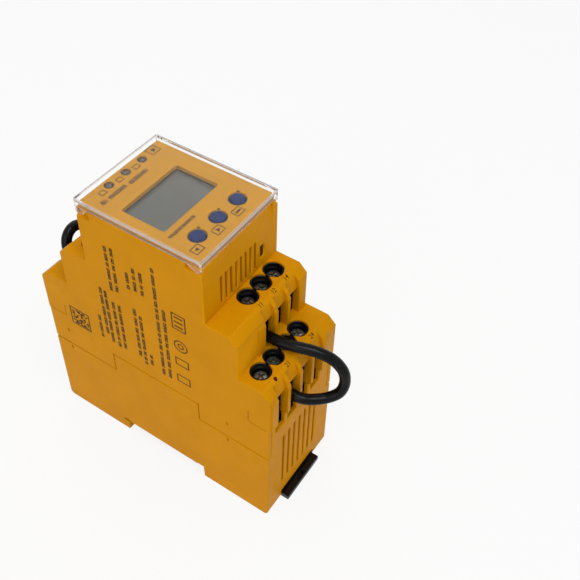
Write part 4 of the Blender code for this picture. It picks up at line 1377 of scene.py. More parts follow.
@dataclass
class Housing(SubAssembly):
    """The base and the upper housing, with their parting lines, recesses and print."""

    edge: Rounding = Rounding(mm(0.32), shortest=mm(0.95), spared=((mm(-16.9), mm(-21.2), mm(88.0)),
                                                                   (mm(16.9), mm(21.2), mm(98.0))))
    foot_corner: Rounding = Rounding(mm(1.5), 5)
    groove: float = mm(0.28)
    groove_depth: float = mm(0.35)
    parting_knee: Pair = (mm(36.8), mm(43.3))
    parting_end_y: float = mm(43.6)
    parting_top_z: float = mm(48.4)
    latch_mark_size: Pair = (mm(0.8), mm(1.7))
    latch_mark_y: Pair = (mm(-28.8), mm(37.4))
    upper_mark_z: float = mm(34.5)
    base_mark_z: float = mm(25.6)
    # Black plates inside the latch windows: painted shade for the windows' dark through-slots.
    shade_plate_low: Triple = (mm(9.1), mm(-21.75), mm(81.2))
    shade_plate_high: Triple = (mm(11.1), mm(-20.65), mm(86.2))
    shade_plate_edge: float = mm(0.1)
    pole_pitch: float = mm(6.5)
    numeral_height: float = mm(1.35)
    lower_numeral: Triple = (mm(-5.0), mm(-41.88), mm(61.0))
    upper_numeral: Triple = (mm(-2.7), mm(-30.68), mm(77.5))
    dot_x: float = mm(-11.5)
    dot_radius: float = mm(0.6)

    def build(self) -> None:
        """Make the two mouldings and everything printed on them."""
        self.mouldings()
        self.latch_shade_plates()
        self.numerals()
        self.side_print()

    def mouldings(self) -> None:
        """Make the base and the upper housing with their engraved lines."""
        low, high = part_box("base_housing")

        def at_foot(first: Vector, second: Vector) -> bool:
            """Say whether an edge runs along X at the bottom of an end.

            Args:
                first: The edge's one end.
                second: Its other end.

            Returns:
                True if it does.
            """
            along_x = abs(first.y - second.y) < MERGE and abs(first.z - second.z) < MERGE
            at_end = min(abs(first.y - low.y), abs(first.y - high.y)) < MERGE
            return along_x and at_end and abs(first.z - low.z) < MERGE

        base = rounded_copy("base_housing", self.edge, self.foot_corner, at_foot)
        upper = rounded_copy("upper_housing", self.edge)
        for name, mesh, marks in (("base", base, self.base_marks()), ("upper", upper, self.upper_marks())):
            self.add(name + "_moulding", carved(mesh, marks), self.finishes.housing, Slot.HOUSING,
                     [name + "_housing"])

    def latch_shade_plates(self) -> None:
        """Make the black plates that paint shade into the latch windows of the front tier."""
        for end in End:
            shape = bmesh.new()
            add_box(shape, self.shade_plate_low, self.shade_plate_high, self.shade_plate_edge, 1)
            shape.transform(end.turn)
            self.add("latch_tongue_%s" % end.label, as_mesh(shape, "latch_tongue"), self.finishes.black,
                     Slot.BLACK)

    def side_cut(self, cutter: Shape, side: Side, low: Pair, high: Pair) -> None:
        """Add a shallow cut into a long side.

        Args:
            cutter: The cutter that takes it.
            side: The side.
            low: Its lower corner as (y, z) in metres.
            high: Its higher corner.
        """
        face = side.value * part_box("upper_housing")[1].x
        inner, outer = face - side.value * self.groove_depth, face + side.value * self.groove_depth
        add_box(cutter, (min(inner, outer), *low), (max(inner, outer), *high))

    def latch_marks(self, cutter: Shape, low_z: float) -> None:
        """Add the small recesses over the latches, at both ends of both sides.

        Args:
            cutter: The cutter that takes them.
            low_z: The height of their lower edges.
        """
        width, height = self.latch_mark_size
        for side in Side:
            for y in self.latch_mark_y:
                self.side_cut(cutter, side, (y - width / 2, low_z), (y + width / 2, low_z + height))

    def upper_marks(self) -> Shape:
        """Give the cutter for the angled parting lines and latch marks of the upper housing.

        Returns:
            The cutter.
        """
        cutter = bmesh.new()
        half = self.groove / 2
        y, z = self.parting_knee
        for side in Side:
            for sign in (-1, 1):
                low_y, high_y = sorted((sign * y, sign * self.parting_end_y))
                self.side_cut(cutter, side, (low_y + half, z - half), (high_y - half, z + half))
                self.side_cut(cutter, side, (sign * y - half, z + half * 1.5),
                              (sign * y + half, self.parting_top_z))
        self.latch_marks(cutter, self.upper_mark_z)
        return cutter

    def base_marks(self) -> Shape:
        """Give the cutter for the latch marks of the base.

        Returns:
            The cutter.
        """
        cutter = bmesh.new()
        self.latch_marks(cutter, self.base_mark_z)
        return cutter

    def numerals(self) -> None:
        """Print the poles' numbers along the deck edges, and the dot on the first lower pole."""
        moulding = bpy.data.objects["upper_moulding"].data
        ground = BVHTree.FromPolygons([vertex.co for vertex in moulding.vertices],
                                      [face.vertices for face in moulding.polygons])
        for end, rows in POLE_NUMBERS.items():
            for texts, (x, y, z) in zip(rows, (self.lower_numeral, self.upper_numeral)):
                for index, text in enumerate(texts):
                    self.print_numeral(text, end, Vector((x + index * self.pole_pitch, y, z)), ground)
        _, y, z = self.lower_numeral
        dot = flat_dot(self.dot_radius, 24)
        dot.transform(Matrix.Translation((self.dot_x, y, z)))
        mesh = draped(as_mesh(dot, "pole_dot"), ground, z)
        self.add("pole_dot", crease_by_angle(mesh), self.finishes.red_dot, Slot.HOUSING)

    def print_numeral(self, text: str, end: End, place: Vector, ground: BVHTree) -> None:
        """Print one number on a deck, its top towards the wells.

        Args:
            text: The number.
            end: The end that it is printed at.
            place: Its middle on the output end's deck.
            ground: The housing's faces.
        """
        mesh = numeral(text, self.numeral_height)
        mesh.transform(end.turn @ Matrix.Translation(place))
        self.add("numeral_%s_%s" % (end.label, text), draped(mesh, ground, place.z), self.finishes.ink,
                 Slot.HOUSING)

    def side_print(self) -> None:
        """Print plain bars and plain outlined marks on the near side."""
        rows = SidePrint(InkFace(0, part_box("upper_housing")[0].x))
        self.add("side_print_bars", rows.bars(), self.finishes.small_print, Slot.HOUSING)
        self.add("side_print_marks", rows.marks(), self.finishes.ink, Slot.HOUSING)


@dataclass(frozen=True)
class SidePrint:
    """The print on the near side: rows of plain bars that run along Z, and plain marks.

    Args:
        face: The side that takes the print.
        rows: Each row of bars as (y, top z, bottom z) in millimetres.
        bar: The width of a bar.
        bar_length: The shortest and longest bar in millimetres.
        bar_gap: The narrowest and widest gap in millimetres.
        bar_seed: The seed of the bars' lengths.
        line: The width of the marks' lines.
        square: The width of the chequered square.
        square_middle: Its middle as (y, z).
        cells: How many cells it has each way.
        cell_seed: The seed of the choice among them.
        margin: How much narrower the cells' field is than the square.
        bare_share: The share of its cells that stay bare.
        cell_fill: A cell's width, as a share of its pitch.
        column_y: The place of the column of outlined marks along Y.
        boxes: Each of its boxes as (middle z, height) in millimetres.
        box_width: Their width.
        stroke_offsets: The strokes in the first box, by their distance from its middle in millimetres.
        stroke_ends: Where those strokes start and end along Y.
        stroke_height: Their height.
        rings_z: The height of the rings.
        ring_radii: Their outer radii.
    """

    face: InkFace
    rows: tuple[Triple, ...] = (
        (12.9, 88.6, 70.0), (10.5, 89.0, 70.6),
        (17.9, 68.4, 45.0), (16.0, 68.0, 42.2), (13.3, 64.6, 42.0), (10.9, 64.6, 42.4), (20.6, 54.0, 42.0),
        (5.6, 82.0, 75.0), (2.9, 85.2, 75.6), (0.3, 85.0, 75.4),
        (4.6, 67.0, 43.0), (2.5, 65.0, 42.0), (0.0, 48.4, 42.0),
        (-4.6, 89.8, 42.0), (-7.2, 74.0, 41.6),
    )
    bar: float = mm(1.25)
    bar_length: Pair = (1.6, 5.2)
    bar_gap: Pair = (0.5, 0.9)
    bar_seed: int = 4
    line: float = mm(0.45)
    square: float = mm(8.4)
    square_middle: Pair = (mm(30.1), mm(45.7))
    cells: int = 11
    cell_seed: int = 11
    margin: float = mm(1.4)
    bare_share: float = 0.45
    cell_fill: float = 0.94
    column_y: float = mm(-12.6)
    boxes: tuple[Pair, ...] = ((72.0, 7.0), (53.4, 3.6), (45.0, 3.6))
    box_width: float = mm(5.2)
    stroke_offsets: Triple = (-1.9, 0.0, 1.9)
    stroke_ends: Pair = (mm(-14.2), mm(-11.0))
    stroke_height: float = mm(0.6)
    rings_z: float = mm(61.2)
    ring_radii: Pair = (mm(2.6), mm(1.2))

    def bars(self) -> Mesh:
        """Make the rows, each broken into bars of uneven length.

        Returns:
            Their mesh.
        """
        dice = random.Random(self.bar_seed)
        shape = bmesh.new()
        for y, top, bottom in self.rows:
            z = mm(top)
            while z > mm(bottom) + self.bar:
                length = min(mm(dice.uniform(*self.bar_length)), z - mm(bottom))
                self.face.bar(shape, (mm(y) - self.bar / 2, z - length), (mm(y) + self.bar / 2, z))
                z -= length + mm(dice.uniform(*self.bar_gap))
        return as_mesh(shape, "side_print_bars")

    def marks(self) -> Mesh:
        """Make the plain marks: a chequered square, and a column of outlined boxes and rings.

        Returns:
            Their mesh.
        """
        shape = bmesh.new()
        self.chequer(shape)
        for z, height in self.boxes:
            self.face.outline(shape, (self.column_y, mm(z)), (self.box_width, mm(height)), self.line)
        near, far = self.stroke_ends
        half = self.stroke_height / 2
        for offset in self.stroke_offsets:
            z = mm(self.boxes[0][0] + offset)
            self.face.bar(shape, (near, z - half), (far, z + half))
        for radius in self.ring_radii:
            self.ring(shape, radius)
        return as_mesh(shape, "side_print_marks")

    def chequer(self, shape: Shape) -> None:
        """Add a framed square of cells, printed or bare at random.

        Args:
            shape: The bmesh that takes it.
        """
        dice = random.Random(self.cell_seed)
        middle_y, middle_z = self.square_middle
        self.face.outline(shape, self.square_middle, (self.square, self.square), self.line)
        pitch = (self.square - self.margin) / self.cells
        fill = pitch * self.cell_fill
        for row in range(self.cells):
            for column in range(self.cells):
                if dice.random() < self.bare_share:
                    continue
                low_y = middle_y + (column - self.cells / 2) * pitch
                low_z = middle_z + (row - self.cells / 2) * pitch
                self.face.bar(shape, (low_y, low_z), (low_y + fill, low_z + fill))

    def ring(self, shape: Shape, radius: float) -> None:
        """Add a plain ring to the column of marks.

        Args:
            shape: The bmesh that takes it.
            radius: Its outer radius.
        """
        flat = flat_ring(radius, self.line)
        place = Matrix.Translation((self.face.level, self.column_y, self.rings_z))
        flat.transform(place @ Matrix.Rotation(-math.pi / 2, 4, "Y"))
        ring = as_mesh(flat, "ring")
        shape.from_mesh(ring)
        bpy.data.meshes.remove(ring)


# ---------------------------------------------------------------- front panel, display, lamps and keys

@dataclass
class FrontPanel(SubAssembly):
    """The printed plate and what shows through it: display, lamps and keys."""

    edge: Rounding = Rounding(mm(0.22), 2, mm(0.8))
    window_corner: Rounding = Rounding(mm(0.9), 5, mm(0.8), math.radians(-125), math.radians(-40))
    glass_edge: float = mm(0.2)
    bezel_inset: float = mm(1.45)
    bezel_wall: float = mm(0.4)
    bezel_rise: float = mm(0.2)
    digit_pitch: float = mm(5.4)
    digit_width: float = mm(3.2)
    digit_half: float = mm(3.1)
    digit_line: float = mm(0.5)
    digit_depth: float = mm(0.004)
    lamp_radius: float = mm(1.1)
    lamp_dome: float = mm(0.45)
    # The dark ring round each lamp is painted shade of the gap round its hole.
    lamp_ring_gap: float = mm(0.15)
    lamp_ring_line: float = mm(0.25)
    key_radius: float = mm(2.2)
    key_rise: float = mm(0.18)
    key_dome: float = mm(0.14)
    key_edge: float = mm(0.4)
    key_stem: float = mm(1.3)
    key_flange_foot: float = mm(0.8)
    key_flange_top: float = mm(1.7)
    # The dark dot by each key is painted shade of its hole's far side.
    key_dot_radius: float = mm(0.42)
    key_dot_place: Pair = (mm(2.6), mm(1.75))
    line: float = mm(0.3)
    lamp_box_place: Pair = (mm(-3.5), mm(-0.8))
    lamp_box: Pair = (mm(2.3), mm(2.0))
    key_box_place: Pair = (mm(-4.2), mm(-3.2))
    key_box: Pair = (mm(3.5), mm(2.9))
    key_arrow: float = mm(0.85)
    key_dash: Pair = (mm(2.0), mm(0.7))
    corner_box_place: Pair = (mm(5.3), mm(0.4))
    corner_box: Pair = (mm(3.8), mm(3.6))
    corner_arrow_place: Pair = (mm(5.3), mm(0.3))
    corner_arrow: float = mm(1.1)
    text_bars: tuple[tuple[float, float, float, float], ...] = (
        (-14.6, -12.4, 15.0, 1.7), (-11.4, -4.4, 14.9, 1.5), (-3.2, 4.4, 14.6, 1.5), (-14.4, -3.4, -8.9, 1.2))

    def build(self) -> None:
        """Make the plate, the display, the lamps and the keys."""
        low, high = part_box("lcd_module")

        def at_window(first: Vector, second: Vector) -> bool:
            """Say whether an edge runs along Z at a corner of the display's window.

            Args:
                first: The edge's one end.
                second: Its other end.

            Returns:
                True if it does.
            """
            upright = abs(first.x - second.x) < MERGE and abs(first.y - second.y) < MERGE
            return upright and low.x < first.x < high.x and low.y < first.y < high.y

        plate = rounded_copy("front_panel", self.edge, self.window_corner, at_window)
        self.add("front_panel_fine", plate, self.finishes.panel, Slot.HOUSING, ["front_panel"])
        self.display()
        for index in (1, 2, 3):
            self.lamp(index)
            self.key(index)
        self.panel_print()

    @property
    def top(self) -> float:
        """Give the height of the plate's face."""
        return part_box("front_panel")[1].z

    def display(self) -> None:
        """Make the display, its bezel and the resting segments of its digits."""
        low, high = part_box("lcd_module")
        shape = bmesh.new()
        add_box(shape, low, high, self.glass_edge)
        self.add("display_glass", as_mesh(shape, "display_glass"), self.finishes.display, Slot.LCD,
                 ["lcd_module"])
        bezel = bmesh.new()
        inset = self.bezel_inset
        for start, end in border((low.x + inset, low.y + inset), (high.x - inset, high.y - inset),
                                 self.bezel_wall):
            add_box(bezel, (*start, high.z), (*end, high.z + self.bezel_rise))
        self.add("display_bezel", as_mesh(bezel, "display_bezel"), self.finishes.bezel, Slot.LCD)
        self.add("display_segments", self.segments(high.z), self.finishes.ghost, Slot.LCD)

    def segments(self, glass_z: float) -> Mesh:
        """Make the unlit segments of three digits.

        Args:
            glass_z: The height of the display's glass.

        Returns:
            Their mesh.
        """
        shape = bmesh.new()
        centre = middle_of("lcd_module")
        half, line = self.digit_width / 2, self.digit_line
        reach = self.digit_half / 2 - line * 0.7
        top = glass_z + self.digit_depth
        for digit in (-1, 0, 1):
            x = centre.x + digit * self.digit_pitch
            for level in (-1, 0, 1):
                y = centre.y + level * self.digit_half
                add_box(shape, (x - half + line, y - line / 2, glass_z), (x + half - line, y + line / 2, top))
            for level in (-1, 1):
                y = centre.y + level * self.digit_half / 2
                for side in (x - half, x + half):
                    add_box(shape, (side - line / 2, y - reach, glass_z), (side + line / 2, y + reach, top))
        return as_mesh(shape, "display_segments")

    def lamp(self, index: int) -> None:
        """Make one lamp: a light guide with a domed lens, and a dark ring of painted shade round its hole on
        the panel.

        Args:
            index: Its number.
        """
        node = "status_lamp_%d" % index
        low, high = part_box(node)
        radius, shoulder = self.lamp_radius, high.z - self.lamp_dome
        profile = [(0.0, low.z), (radius, low.z), (radius, shoulder)]
        profile += quarter_arc((0.0, shoulder), (radius, self.lamp_dome), [step / 6 for step in range(1, 7)])
        shape = turned(profile, 36)
        centre = middle_of(node)
        shape.transform(Matrix.Translation((centre.x, centre.y, 0.0)))
        self.add("lamp_lens_%d" % index, crease_by_angle(as_mesh(shape, node)), self.finishes.lamp,
                 Slot.LAMP, [node])
        # A dark ring of painted shade round the lens, for the shaded gap of its hole in the panel.
        ring = flat_ring(radius + self.lamp_ring_gap + self.lamp_ring_line, self.lamp_ring_line)
        ring.transform(Matrix.Translation((centre.x, centre.y, self.top)))
        self.add("lamp_ring_%d" % index, as_mesh(ring, "lamp_ring"), self.finishes.panel_ink, Slot.HOUSING)

    def key(self, index: int) -> None:
        """Make one key: stem, flange and a slightly domed cap, with a dark dot of painted shade beside it at
        the far side of its hole.

        Args:
            index: Its number.
        """
        node = "key_%d" % index
        low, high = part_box(node)
        centre = middle_of(node)
        cap, edge, stem = self.key_radius, self.key_edge, self.key_stem
        flange, top = (high.x - low.x) / 2, high.z + self.key_rise
        below, above = low.z + self.key_flange_foot, low.z + self.key_flange_top
        shoulder = top - self.key_dome - edge
        profile = [(0.0, low.z), (stem, low.z), (stem, below), (flange, below), (flange, above), (cap, above),
                   (cap, shoulder)]
        profile += quarter_arc((cap - edge, shoulder), (edge, edge), [step / 5 for step in range(1, 5)])
        profile += [(cap * 0.6, top - self.key_dome * 0.3), (cap * 0.3, top - self.key_dome * 0.08),
                    (0.0, top)]
        shape = turned(profile, 48)
        shape.transform(Matrix.Translation((centre.x, centre.y, 0.0)))
        self.add("key_cap_%d_fine" % index, crease_by_angle(as_mesh(shape, node)), self.finishes.key,
                 Slot.KEY, [node], "key_cap_%d" % index)
        # The dot is painted shade: the dark far side of the key's hole.
        dot = flat_dot(self.key_dot_radius, 20)
        dot.transform(Matrix.Translation((*self.beside(node, self.key_dot_place), self.top)))
        self.add("key_dot_%d" % index, crease_by_angle(as_mesh(dot, "key_dot")), self.finishes.key_dot,
                 Slot.HOUSING)

    def beside(self, node: str, place: Pair) -> Pair:
        """Give the point on the panel at a place counted from a node's middle."""
        middle = middle_of(node)
        return middle.x + place[0], middle.y + place[1]

    def arrow(self, shape: Shape, centre: Pair, size: float, turn: float) -> None:
        """Add a plain triangle to the panel's print.

        Args:
            shape: The bmesh that takes it.
            centre: Its middle as (x, y).
            size: Its radius.
            turn: Its turn about Z in radians.
        """
        place = Matrix.Translation((*centre, self.top)) @ Matrix.Rotation(turn, 4, "Z")
        bmesh.ops.create_cone(shape, cap_ends=True, segments=3, radius1=size, radius2=size,
                              depth=2 * INK_DEPTH, matrix=place)

    def panel_print(self) -> None:
        """Print plain boxes by the lamps and keys, with arrows and a dash, and two rows of bars."""
        face = InkFace(2, self.top)
        marks = bmesh.new()
        for index, arrow_turn in ((1, math.pi / 2), (2, -math.pi / 2), (3, None)):
            lamp_label = self.beside("status_lamp_%d" % index, self.lamp_box_place)
            face.outline(marks, lamp_label, self.lamp_box, self.line)
            key_label = self.beside("key_%d" % index, self.key_box_place)
            face.outline(marks, key_label, self.key_box, self.line)
            if arrow_turn is None:
                face.patch(marks, key_label, self.key_dash)
            else:
                self.arrow(marks, key_label, self.key_arrow, arrow_turn)
        last = "status_lamp_3"
        face.outline(marks, self.beside(last, self.corner_box_place), self.corner_box, self.line)
        self.arrow(marks, self.beside(last, self.corner_arrow_place), self.corner_arrow, -math.pi / 2)
        self.add("panel_marks", as_mesh(marks, "panel_marks"), self.finishes.panel_ink, Slot.HOUSING)
        rows = bmesh.new()
        for start, end, y, height in self.text_bars:
            face.bar(rows, (mm(start), mm(y - height / 2)), (mm(end), mm(y + height / 2)))
        self.add("panel_bars", as_mesh(rows, "panel_bars"), self.finishes.panel_small, Slot.HOUSING)


@dataclass
class ClearCover(SubAssembly):
    """The clear cover that swings over the front panel."""

    edge: Rounding = Rounding(mm(0.28), 3, mm(0.5))
    plate: float = mm(1.2)

    def build(self) -> None:
        """Make the cover, with a pinkish, partly opaque painted highlight on its rounded edges and on the
        plate's rim, where clear edges catch the light.
        """
        cover = self.round_off("clear_cover", self.edge, self.finishes.cover, Slot.COVER, Body.COVER.value)
        for finish in (self.finishes.cover_edge_highlight, self.finishes.cover_rim_highlight):
            cover.data.materials.append(finish)
        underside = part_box("clear_cover")[1].z - self.plate
        shape = bmesh.new()
        shape.from_mesh(cover.data)
        bmesh.ops.bisect_plane(shape, geom=[*shape.verts, *shape.edges, *shape.faces], dist=MERGE,
                               plane_co=(0.0, 0.0, underside), plane_no=(0.0, 0.0, 1.0))
        # Rounded edges and the rim above the underside take the painted highlight finishes; the other faces
        # stay clear.
        for face in shape.faces:
            upright = abs(face.normal.z) < 0.5
            if face.smooth:
                face.material_index = CoverFinish.EDGE
            elif upright and face.calc_center_median().z > underside:
                face.material_index = CoverFinish.RIM_HIGHLIGHT
            else:
                face.material_index = CoverFinish.FACE
        shape.to_mesh(cover.data)
        shape.free()


# ---------------------------------------------------------------- terminals

@dataclass
class Terminals(SubAssembly):
    """The four carriers, the fourteen screws and their clamp cages."""

    carrier_edge: Rounding = Rounding(mm(0.14), 2, mm(0.6))
    cage_edge: Rounding = Rounding(mm(0.12), 2, mm(0.5))
    count: int = 14
    first_spin: float = 0.35
    next_spin: float = 0.9
    head_radius: float = mm(2.3)
    head_height: float = mm(1.9)
    head_edge: float = mm(0.45)
    crown_share: float = 0.55
    crown_drop: float = mm(0.03)
    head_drop: float = mm(0.1)
    under_edge: float = mm(0.15)
    thread_pitch: float = mm(0.5)
    thread_radius: float = mm(1.5)
    thread_depth: float = mm(0.28)
    tip_length: float = mm(0.2)
    tip_steps: Pair = (mm(0.35), mm(0.5))
    recess_width: float = mm(0.72)
    recess_reach: float = mm(1.65)
    recess_depth: float = mm(1.0)
    recess_floor: float = 0.62

    def build(self) -> None:
        """Make the carriers, screws and cages."""
        for end in End:
            for row in ("lower", "upper"):
                self.round_off("%s_carrier_%s" % (row, end.label), self.carrier_edge, self.finishes.black,
                               Slot.BLACK)
        screw = self.screw()
        for index in range(1, self.count + 1):
            node = "terminal_screw_%02d" % index
            low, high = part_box(node)
            mesh = screw.copy()
            spin = Matrix.Rotation(self.first_spin + self.next_spin * index, 4, "Z")
            mesh.transform(Matrix.Translation(((low.x + high.x) / 2, (low.y + high.y) / 2, high.z)) @ spin)
            self.add(node + "_fine", mesh, self.finishes.screw, Slot.SCREW, [node], "screw_%02d" % index)
            self.round_off("clamp_cage_%02d" % index, self.cage_edge, self.finishes.cage, Slot.CAGE,
                           "cage_%02d" % index)
        bpy.data.meshes.remove(screw)

    def screw(self) -> Mesh:
        """Make a pan-head screw with a crossed slot, its head's top at the origin.

        Returns:
            Its mesh.
        """
        low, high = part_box("terminal_screw_01")
        body = as_mesh(turned(self.screw_profile(high.z - low.z), 36), "screw_blank")
        half, reach = self.recess_width / 2, self.recess_reach
        for wide, deep in ((reach, half), (half, reach)):
            cutter = bmesh.new()
            add_box(cutter, (-wide, -deep, -self.recess_depth), (wide, deep, self.recess_depth))
            self.narrow_floor(cutter)
            body = carved(body, cutter)
        return crease_by_angle(body, 40.0)

    def screw_profile(self, length: float) -> list[Pair]:
        """Give the screw's outline from its head's top to its tip.

        Args:
            length: The screw's length.

        Returns:
            Its (radius, height) pairs.
        """
        head, edge, thread = self.head_radius, self.head_edge, self.thread_radius
        profile = [(0.0, 0.0), (head * self.crown_share, -self.crown_drop)]
        profile += quarter_arc((head - edge, -self.head_drop - edge), (edge, edge),
                               [1 - step / 4 for step in range(5)])
        profile += [(head, self.under_edge - self.head_height), (head - self.under_edge, -self.head_height)]
        depth = self.head_height
        while depth + self.thread_pitch < length - 2 * self.tip_length:
            profile += [(thread - self.thread_depth, -depth - self.thread_pitch * 0.1),
                        (thread, -depth - self.thread_pitch * 0.6)]
            depth += self.thread_pitch
        profile += [(thread - self.tip_steps[0], self.tip_length - length),
                    (thread - self.tip_steps[1], -length), (0.0, -length)]
        return profile

    def narrow_floor(self, shape: Shape) -> None:
        """Draw in the floor of a recess, so that its walls slope as a driver's tip does.

        Args:
            shape: The recess's cutter.
        """
        for vert in shape.verts:
            if vert.co.z < 0:
                vert.co.x *= self.recess_floor
                vert.co.y *= self.recess_floor


@dataclass
class RailClip(SubAssembly):
    """The sprung clip that holds the rail, and its spring."""

    edge: Rounding = Rounding(mm(0.28), 3, mm(0.7))
    turns: int = 5
    turn_steps: int = 18
    wire: float = mm(0.22)
    radius: float = mm(1.0)
    travel: float = mm(3.5)

    def build(self) -> None:
        """Make the clip and the spring."""
        self.round_off("rail_clip", self.edge, self.finishes.black, Slot.BLACK, Body.CLIP.value)
        low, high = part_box("clip_spring")
        start, end = low.y + self.wire, high.y - self.wire
        steps = self.turns * self.turn_steps
        points = []
        for step in range(steps + 1):
            angle = step / self.turn_steps * math.tau
            points.append(Vector((self.radius * math.cos(angle), start + (end - start) * step / steps,
                                  (low.z + high.z) / 2 + self.radius * math.sin(angle))))
        mesh = curve_mesh(along_curve("clip_spring_fine", points, self.wire, 3))
        spring = self.add("clip_spring_fine", mesh, self.finishes.spring, Slot.SPRING, ["clip_spring"])
        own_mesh(spring)


# ---------------------------------------------------------------- inside the housing

@dataclass
class Internals(SubAssembly):
    """The boards and what they carry."""

    board_edge: Rounding = Rounding(mm(0.1), 1, mm(1.0))
    case_edge: Rounding = Rounding(mm(0.4))
    small_edge: Rounding = Rounding(mm(0.15), 2, mm(0.8))
    can_radius: float = mm(6.0)
    can_foot: float = mm(0.5)
    can_groove: Triple = (mm(1.6), mm(2.1), mm(2.6))
    can_groove_depth: float = mm(0.6)
    lip_corner: Pair = (mm(0.2), mm(0.1))
    lip_width: float = mm(0.8)
    lip_height: float = mm(0.2)

    def build(self) -> None:
        """Make the boards and their components."""
        groups = (
            (("main_board", "supply_board", "display_board"),
             self.board_edge, self.finishes.board, Slot.BOARD),
            (("output_relay_1", "output_relay_2"), self.case_edge, self.finishes.relay, Slot.RELAY),
            (("transformer",), self.case_edge, self.finishes.core, Slot.CORE),
            (("board_header", "display_header", "key_switch_1", "key_switch_2", "key_switch_3"),
             self.small_edge, self.finishes.black, Slot.BLACK),
        )
        for nodes, edge, finish, slot in groups:
            for node in nodes:
                self.round_off(node, edge, finish, slot)
        self.capacitor()

    def capacitor(self) -> None:
        """Make the supply capacitor: a sleeved can with a rolled groove and a lip round its top."""
        low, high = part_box("supply_capacitor")
        length, radius, foot = high.x - low.x, self.can_radius, self.can_foot
        before, groove, after = self.can_groove
        lip_in, lip_down = self.lip_corner
        top = length - self.lip_height
        profile = [(0.0, 0.0), (radius - foot, 0.0), (radius, foot), (radius, before),
                   (radius - self.can_groove_depth, groove), (radius, after), (radius, length - foot),
                   (radius - lip_in, length - lip_down), (radius - self.lip_width, length),
                   (radius - self.lip_width - lip_in, top), (0.0, top)]
        shape = turned(profile, 48)
        centre = middle_of("supply_capacitor")
        place = Matrix.Translation((low.x, centre.y, centre.z))
        shape.transform(place @ Matrix.Rotation(math.pi / 2, 4, "Y"))
        self.add("supply_capacitor_fine", crease_by_angle(as_mesh(shape, "supply_capacitor")),
                 self.finishes.sleeve, Slot.SLEEVE, ["supply_capacitor"])


# ---------------------------------------------------------------- link wires

@dataclass(frozen=True)
class LinkRoute:
    """One link wire's way from its first terminal to its second.

    Args:
        name: The wire's CAD node.
        start: Where it leaves its first terminal, in millimetres.
        points: The route between the terminals, in millimetres.
        end: Where it enters its second terminal, in millimetres.
        inward: The direction along Y from the terminals' slots to their cages.
    """

    name: str
    start: Triple
    points: tuple[Triple, ...]
    end: Triple
    inward: int


OUTPUT_LINK = LinkRoute(
    "output_link_wire", (-2.1, -32.2, 64.3),
    ((-2.0, -37.0, 64.5), (-1.2, -41.5, 64.7), (0.9, -47.0, 64.2), (2.8, -52.0, 62.2), (3.9, -55.4, 58.2),
     (4.0, -56.5, 53.2), (2.7, -55.8, 49.0), (0.1, -53.0, 47.0), (-2.8, -49.6, 46.8), (-4.7, -46.6, 47.4)),
    (-5.1, -43.4, 47.8), 1)
SUPPLY_LINK = LinkRoute(
    "supply_link_wire", (-10.9, 32.2, 64.3),
    ((-10.8, 36.9, 65.0), (-10.4, 38.7, 67.0), (-9.2, 39.6, 70.0), (-7.0, 39.9, 71.7), (-4.4, 39.9, 71.8),
     (-2.0, 39.5, 70.4), (0.2, 38.8, 67.9), (1.7, 37.6, 65.6)),
    (2.1, 32.2, 64.3), -1)


@dataclass
class LinkWires(SubAssembly):
    """The two insulated link wires and their bare pins."""

    radius: float = mm(1.75)
    pin_radius: float = mm(1.1)
    pin_length: float = mm(7.6)
    pin_start: float = mm(-0.4)
    neck: float = mm(0.9)
    neck_share: float = 1.3
    tip_share: float = 0.75
    taper: float = mm(0.3)

    def build(self) -> None:
        """Make both wires."""
        for route in (OUTPUT_LINK, SUPPLY_LINK):
            self.wire(route)

    def wire(self, route: LinkRoute) -> None:
        """Make one wire and its pins.

        Args:
            route: The wire's route.
        """
        places = [Vector([mm(value) for value in place]) for place in (route.start, *route.points, route.end)]
        path = smooth_path(places, 6)
        cord = self.add(route.name + "_sheath", along_curve(route.name, path, self.radius, 6),
                        self.finishes.wire, Slot.WIRE, [route.name])
        pins = [self.pin("%s_pin_%d" % (route.name, number), place, route.inward)
                for number, place in ((1, places[0]), (2, places[-1]))]

    def pin(self, name: str, place: Vector, inward: int) -> bpy.types.Object:
        """Make the tapered sheath end and bare pin that a cage holds.

        Args:
            name: The piece's name.
            place: Where the wire's sheath ends.
            inward: The direction along Y towards the cage.

        Returns:
            The piece.
        """
        radius, length = self.pin_radius, self.pin_length
        thick = radius * self.neck_share
        profile = [(0.0, self.pin_start), (thick, self.pin_start), (thick, self.neck),
                   (radius, self.neck + self.taper), (radius, length - self.taper),
                   (radius * self.tip_share, length), (0.0, length)]
        shape = turned(profile, 28)
        shape.transform(Matrix.Translation(place) @ Matrix.Rotation(-inward * math.pi / 2, 4, "X"))
        return self.add(name, crease_by_angle(as_mesh(shape, name)), self.finishes.tin, Slot.WIRE)


# ---------------------------------------------------------------- studio

@dataclass(frozen=True)
class Lamp:
    """One soft lamp of the studio.

    Args:
        name: Its name.
        place: Where it hangs, in metres.
        size: The width of its panel.
        power: Its power in watts.
    """

    name: str
    place: Triple
    size: float
    power: float


